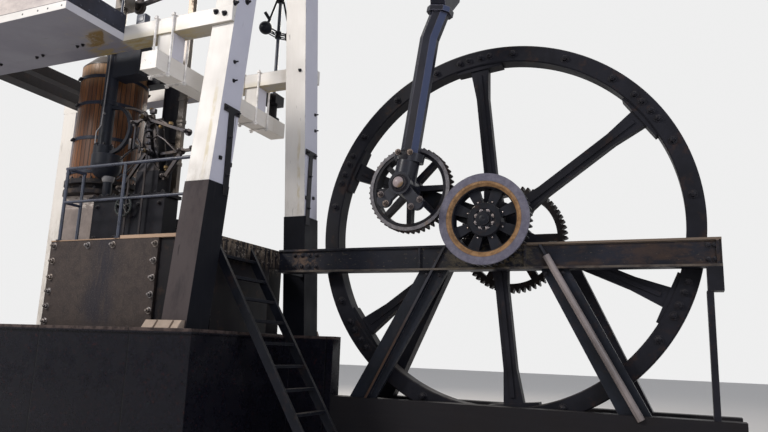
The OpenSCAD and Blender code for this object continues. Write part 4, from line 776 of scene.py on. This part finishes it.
def gear_fixings():
    """bolts, pin collar and oil mouth on the rod's foot; studs and rings on the sun gear's hub"""
    p = Piece("foot_bolts", "rod", foot_steel, "bright_iron")
    for x, z in ((1.652, 2.781), (1.716, 2.677), (2.008, 2.628), (2.108, 2.699)):
        p.bolt((x, -0.090, z), FRONT, 0.048, 0.6)
    for x, z in ((1.849, 3.239), (1.989, 3.227)):
        p.bolt((x, -0.110, z), FRONT, 0.046, 0.5)
    p.done()
    m = Piece("foot_mouth", "rod", bolt_black, "iron")
    m.lathe((PLANET_X, -0.123, PLANET_Z), FRONT, [
        (0.0835, 0), (0.096, 0), (0.099, 0.004), (0.096, 0.010), (0.088, 0.012), (0.0835, 0.010)], 40)
    m.lathe((1.918, -0.108, 3.232), FRONT, [
        (0, 0.001), (0.030, 0.001), (0.034, 0.004), (0.030, 0.007), (0.024, 0.004), (0, 0.004)], 24)
    m.lathe((1.912, -0.1095, 3.190), FRONT, [
        (0, 0.001), (0.052, 0.001), (0.058, 0.003), (0.05, 0.006), (0, 0.004)], 28)
    m.done()
    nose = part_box("shaft")[0].y
    hub = nose + 0.035
    centre = (GEAR_X, hub, SHAFT_Z)
    q = Piece("hub_rings", "flywheel", gear_iron, "iron")
    q.lathe(centre, FRONT, [
        (0.112, -0.002), (0.176, -0.002), (0.181, 0.003), (0.176, 0.010), (0.118, 0.012), (0.112, 0.008)], 64)
    q.lathe(centre, FRONT, [
        (0.066, -0.002), (0.090, -0.002), (0.094, 0.004), (0.090, 0.018), (0.070, 0.020), (0.066, 0.016)], 48)
    q.lathe((GEAR_X, nose, SHAFT_Z), FRONT, [
        (0, -0.001), (0.050, -0.001), (0.052, 0.002), (0.044, 0.006), (0.018, 0.007), (0.012, 0.001),
        (0, 0.001)], 40)
    q.done()
    r = Piece("hub_studs", "flywheel", pin_steel, "bright_iron")
    for k in range(8):
        r.bolt(polar(0.100, 20 + 45 * k, hub - 0.002), FRONT, 0.028, 0.5)
    for k in range(8):
        r.rivet(polar(0.205, 22.5 + 45 * k, 0.209), FRONT, 0.024)
    r.done()


def bearing_fixings():
    """cap bolts and oil cups on the two shaft bearings, a tapered key at the rear one"""
    p = Piece("bearing_bolts", "frame", bolt_black, "iron")
    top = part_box("bearer")[1].z
    for y in (0.42, 0.51, 1.03, 1.12):
        for step in (-0.232, 0.232):
            p.bolt((GEAR_X + step, y, top + 0.06), UP, 0.062, 0.6)
    for y in (0.466, 1.075):
        p.lathe((GEAR_X, y, SHAFT_Z + 0.158), UP, [
            (0, 0), (0.03, 0), (0.03, 0.03), (0.045, 0.035), (0.045, 0.085), (0.036, 0.095), (0, 0.098)], 20)
    p.done()
    q = Piece("bearing_key", "frame", pin_steel, "bright_iron")
    q.rod((3.145, 0.985, 2.300), (3.235, 0.985, 2.340), 0.016)
    q.done()


def cylinder_fixings():
    """rings of bolts on the cylinder and pipe, clips on the hoops, the bright rod beside the pipe"""
    p = Piece("cylinder_bolts", "frame", bolt_black, "iron")
    def bolt_ring(x, y, z, r, count, first, size, tail):
        for a in (2 * math.pi * (k + first) / count for k in range(count)):
            p.bolt((x + r * math.cos(a), y + r * math.sin(a), z), UP, size, tail)

    for z, r, count in ((3.160, 0.468, 20), (3.030, 0.468, 16), (4.780, 0.405, 20)):
        bolt_ring(CYLINDER_X, 0, z, r, count, 0.5, 0.032, 0.35)
    bolt_ring(-2.138, -0.438, 3.560, 0.103, 6, 0.25, 0.034, 0.4)
    for z in (3.2416, 3.7024, 4.1888, 4.5632):
        for a in (math.radians(-118), math.radians(62)):
            u = Vector((math.cos(a), math.sin(a), 0))
            v = Vector((-u.y, u.x, 0))
            c = Vector((CYLINDER_X, 0, z + 0.022)) + u * 0.447
            for side in (-1, 1):
                p.lathe(c + v * 0.028 * side - u * 0.004, u, [
                    (0, 0), (0.020, 0), (0.020, 0.030), (0.014, 0.038), (0, 0.038)], 8)
            p.rod(c + u * 0.022 - v * 0.07, c + u * 0.022 + v * 0.07, 0.008)
    p.done()
    q = Piece("pipe_side_rod", "frame", dull_grey, "bright_iron")
    q.path([(-2.078, -0.552, 4.97), (-2.085, -0.552, 4.70), (-2.103, -0.556, 3.81), (-2.140, -0.585, 3.72),
            (-2.132, -0.592, 3.56)], 0.008)
    for z in (4.82, 3.98):
        q.rod((-2.092, -0.556, z), (-2.110, -0.500, z), 0.012)
    q.lathe((-1.998, -0.438, 3.145), DOWN, [
        (0.060, 0), (0.080, 0.0), (0.072, 0.045), (0.058, 0.070), (0.055, 0.070)], 24)
    q.done()


def governor():
    """two balls on long arms, a sliding collar and its lower links, hung from the head of the spindle"""
    p = Piece("governor_set", "governor", governor_iron, "iron")
    aim = math.radians(64)
    u = Vector((math.cos(aim), math.sin(aim), 0))
    v = Vector((-u.y, u.x, 0))
    foot = Vector((-0.80, 1.35, 0))
    top, ball_z, throw = 6.36, 5.770, 0.224
    slide = ball_z - 0.045

    def at(out, z, across=0.0):
        """a place out along the arms, at height z, across them"""
        return foot + u * out + v * across + Vector((0, 0, z))

    p.lathe(at(0, top - 0.10), UP, [(0.027, 0), (0.055, 0.006), (0.058, 0.05), (0.045, 0.095), (0.027, 0.10)], 24)
    p.lathe(at(0, slide - 0.05), UP, [
        (0.027, 0), (0.048, 0.0), (0.052, 0.02), (0.034, 0.03), (0.034, 0.07), (0.052, 0.08), (0.048, 0.10),
        (0.027, 0.10)], 24)
    for s in (-1, 1):
        ball = at(throw * s, ball_z)
        p.lathe(ball, UP, turned(0.098, 0.098, -78, 13, 13), 32)
        eye = at((throw - 0.055) * s, ball_z + 0.145)
        p.rod(at(0.05 * s, top - 0.05), eye, 0.015)
        p.rod(eye, ball, 0.020)
        p.rod(eye - u * 0.012 * s, eye + u * 0.085 * s + Vector((0, 0, 0.10)), 0.024)
        for w in (-1, 1):
            side = ball + v * 0.02 * w
            bend = at(0.13 * s, slide + 0.050, 0.030 * w)
            p.path([at(0.046 * s, slide + 0.03, 0.036 * w), bend, side - Vector((0, 0, 0.02))], 0.011, 8)
            p.path([at(0.046 * s, slide - 0.03, 0.03 * w), side - Vector((0, 0, 0.05))], 0.009, 8)
    made = p.done()
    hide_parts("governor_balls")


def gear_links():
    """the valve gear's smaller bars, joints and tappets, with brass caps and oil cups"""
    p = Piece("gear_links", "frame", worn_steel, "bright_iron")
    for x, y, z in ((-1.290, -0.655, 3.790), (-1.422, -0.655, 3.729), (-1.190, -0.655, 3.350),
                    (-1.530, -0.655, 2.912), (-0.616, -0.625, 3.546), (-0.596, -0.515, 3.372),
                    (-0.783, -0.515, 3.362), (-1.006, -0.515, 3.062)):
        p.lathe((x, y - 0.052, z), FRONT, [
            (0, 0), (0.030, 0), (0.030, 0.012), (0.020, 0.016), (0.020, 0.030), (0.012, 0.034), (0, 0.034)], 6)
        p.lathe((x, y + 0.030, z), FRONT, [(0, 0), (0.013, 0), (0.013, 0.09), (0, 0.09)], 10)
    p.path([(-1.668, -0.60, 3.978), (-1.50, -0.61, 3.94), (-1.330, -0.62, 3.874), (-1.20, -0.63, 3.76)], 0.016)
    p.path([(-1.330, -0.60, 3.874), (-1.27, -0.63, 3.78), (-1.245, -0.60, 3.711), (-1.30, -0.60, 3.62)], 0.020)
    p.path([(-1.245, -0.60, 3.711), (-1.096, -0.60, 3.759), (-0.985, -0.60, 3.70), (-0.896, -0.60, 3.636)], 0.014)
    p.path([(-1.401, -0.62, 3.688), (-1.40, -0.63, 3.55), (-1.345, -0.62, 3.47), (-1.36, -0.62, 3.36)], 0.015)
    p.path([(-1.190, -0.60, 3.527), (-1.10, -0.60, 3.56), (-0.985, -0.60, 3.495), (-0.88, -0.59, 3.40),
            (-0.80, -0.58, 3.33)], 0.013)
    p.path([(-1.635, -0.62, 3.299), (-1.56, -0.62, 3.36), (-1.44, -0.62, 3.42), (-1.30, -0.61, 3.44)], 0.013)
    p.path([(-1.060, -0.56, 3.128), (-1.15, -0.58, 3.22), (-1.20, -0.60, 3.34)], 0.012)
    p.path([(-1.655, -0.62, 3.05), (-1.53, -0.62, 3.12), (-1.40, -0.63, 3.22), (-1.25, -0.63, 3.33)], 0.013)
    for z in (3.60, 3.52, 3.44):
        p.lathe((-1.19, -0.655, z), UP, [(0.014, 0), (0.032, 0.004), (0.032, 0.030), (0.014, 0.034)], 14)
    p.box((-1.485, -0.675, 3.40), (-1.445, -0.635, 3.54), 0.006)
    p.box((-1.235, -0.640, 3.84), (-1.150, -0.600, 3.90), 0.008)
    p.done()
    q = Piece("gear_brasses", "frame", old_brass, "bright_iron")
    for x, y, z, r in ((-1.290, -0.700, 3.790, 0.030), (-1.190, -0.700, 3.350, 0.028),
                       (-1.05, -0.62, 3.66, 0.022)):
        q.lathe((x, y, z), FRONT, [
            (0, 0), (r, 0), (r * 1.05, 0.010), (r * 0.8, 0.024), (r * 0.35, 0.030), (0, 0.030)], 18)
    for x, y, z in ((-1.24, -0.60, 3.865), (-1.02, -0.50, 3.145), (-0.93, -0.59, 3.66)):
        q.lathe((x, y, z), UP, [
            (0, 0), (0.016, 0), (0.016, 0.018), (0.028, 0.024), (0.028, 0.052), (0.020, 0.060), (0, 0.060)], 16)
    q.done()


def hand_wheel():
    """green hand wheel with five spokes in front of the chests"""
    p = Piece("hand_wheel", "frame", wheel_green, "painted_iron")
    c, r, corners = Vector((-1.455, -0.672, 2.690)), 0.118, 28
    turn = [c + Vector((r * math.cos(t), 0, r * math.sin(t)))
            for t in (2 * math.pi * k / corners for k in range(corners))]
    p.path(turn + turn[:1], 0.014)
    p.lathe(c + Vector((0, 0.02, 0)), FRONT, [(0, 0), (0.026, 0), (0.028, 0.012), (0.024, 0.034), (0, 0.036)], 18)
    for k in range(5):
        t = math.radians(18 + 72 * k)
        p.rod(c, c + Vector((r * math.cos(t), 0, r * math.sin(t))), 0.009, 8)
    p.rod(c, c + Vector((0, 0.075, 0)), 0.014)
    p.done()


def chest_fixings():
    """flange bolts of the nozzle chests; the plug rod's swelling and collars"""
    p = Piece("chest_bolts", "frame", bolt_black, "iron")
    for k in range(11):
        p.bolt((-2.00 + 0.108 * k, -0.622, 2.84), UP, 0.036, 0.3)
    for x in (-1.95, -1.62, -1.29, -0.97):
        for z in (2.72, 2.33, 1.90, 1.50):
            p.bolt((x, -0.600, z), FRONT, 0.040, 0.3)
    p.done()
    q = Piece("plug_rod_head", "frame", plug_steel, "bright_iron")
    q.lathe((-1.030, -0.300, 2.86), UP, turned(0.047, 0.14, -70, 14, 11, 0.7), 24)
    for z in (4.10, 3.80, 3.25):
        q.box((-1.078, -0.340, z), (-0.982, -0.260, z + 0.05), 0.008)
    q.done()


def beam_end():
    """the rear end of the cross beam, which carries the governor's stand"""
    p = Piece("cross_beam_end", "frame", beam_white, "white_timber")
    low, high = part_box("cross_beam")
    p.box((low.x, high.y - 0.002, low.z), (high.x, high.y + 0.30, high.z), 0.006)
    p.done()


def bearer_bolts():
    """bolts at both ends of the girder and on its lower flange"""
    p = Piece("bearer_fixings", "frame", bolt_black, "iron")
    for columns, rows in (((0.32, 0.42, 0.52, 0.62), (2.205, 2.07)), ((4.86, 4.92), (2.07, 2.205))):
        for x in columns:
            for z in rows:
                p.bolt((x, GIRDER_FACE, z), FRONT, 0.036, 0.2)
    for x in (2.02, 2.17, 3.33, 3.50):
        p.bolt((x, GIRDER_FACE + 0.032, 1.955), FRONT, 0.040, 0.3)
    p.done()


def trestle_head():
    """holding-down bolts of the trunnion bearings"""
    p = Piece("head_bolts", "frame", bolt_black, "iron")
    for side in (-1, 1):
        for x in (-0.245, 0.245):
            for y in (0.60, 0.72):
                p.bolt((x, side * y, 6.72), UP, 0.060, 0.5)
    p.done()


for dress in (wheel_bolts, post_fixings, platform_fixings, plate_studs, gear_fixings, bearing_fixings,
              cylinder_fixings, governor, gear_links, hand_wheel, chest_fixings, beam_end, bearer_bolts,
              trestle_head):
    dress()

# ---------- studio ----------
bpy.ops.mesh.primitive_plane_add(size=80, location=(0, 0, 0))
floor = bpy.context.object
floor.name = "floor"
pale = bpy.data.materials.new("floor_pale")
pale.use_nodes = True
pale.node_tree.nodes["Principled BSDF"].inputs["Base Color"].default_value = (0.80, 0.79, 0.78, 1)
pale.node_tree.nodes["Principled BSDF"].inputs["Roughness"].default_value = 0.7
floor.data.materials.append(pale)


def lamp(name, place, aim, power, size, colour):
    data = bpy.data.lights.new(name, "AREA")
    data.energy, data.shape, data.size, data.color = power, "DISK", size, colour
    made = bpy.data.objects.new(name, data)
    made.location = place
    made.rotation_euler = (Vector(aim) - Vector(place)).to_track_quat("-Z", "Y").to_euler()
    bpy.context.scene.collection.objects.link(made)


lamp("key", (-7.0, -9.5, 9.5), (0.3, 0.0, 3.4), 1240, 3.0, (1.0, 0.96, 0.92))
lamp("fill", (9.5, -7.5, 6.5), (2.0, 0.5, 2.8), 360, 4.0, (0.84, 0.88, 1.0))
lamp("back", (-3.0, 8.0, 9.0), (2.0, 0.5, 2.5), 520, 4.0, (1.0, 0.90, 0.78))


def make_world():
    """A faint cool sky gives soft light; the camera, reflections and glass see a plain pale grey."""
    world = bpy.data.worlds.new("world")
    bpy.context.scene.world = world
    world.use_nodes = True
    nodes, links = world.node_tree.nodes, world.node_tree.links
    sky = nodes["Background"]
    sky.inputs["Color"].default_value = (0.80, 0.82, 0.88, 1)
    sky.inputs["Strength"].default_value = 0.35
    plain = nodes.new("ShaderNodeBackground")
    plain.inputs["Color"].default_value = (0.86, 0.86, 0.86, 1)
    rays = nodes.new("ShaderNodeLightPath")
    seen = rays.outputs["Is Camera Ray"]
    for kind in ("Is Glossy Ray", "Is Transmission Ray"):
        either = nodes.new("ShaderNodeMath")
        either.operation = "MAXIMUM"
        links.new(seen, either.inputs[0])
        links.new(rays.outputs[kind], either.inputs[1])
        seen = either.outputs[0]
    both = nodes.new("ShaderNodeMixShader")
    for source, socket in zip((seen, sky.outputs[0], plain.outputs[0]), both.inputs):
        links.new(source, socket)
    links.new(both.outputs[0], nodes["World Output"].inputs[0])


make_world()
bpy.context.scene.view_settings.view_transform = "Standard"
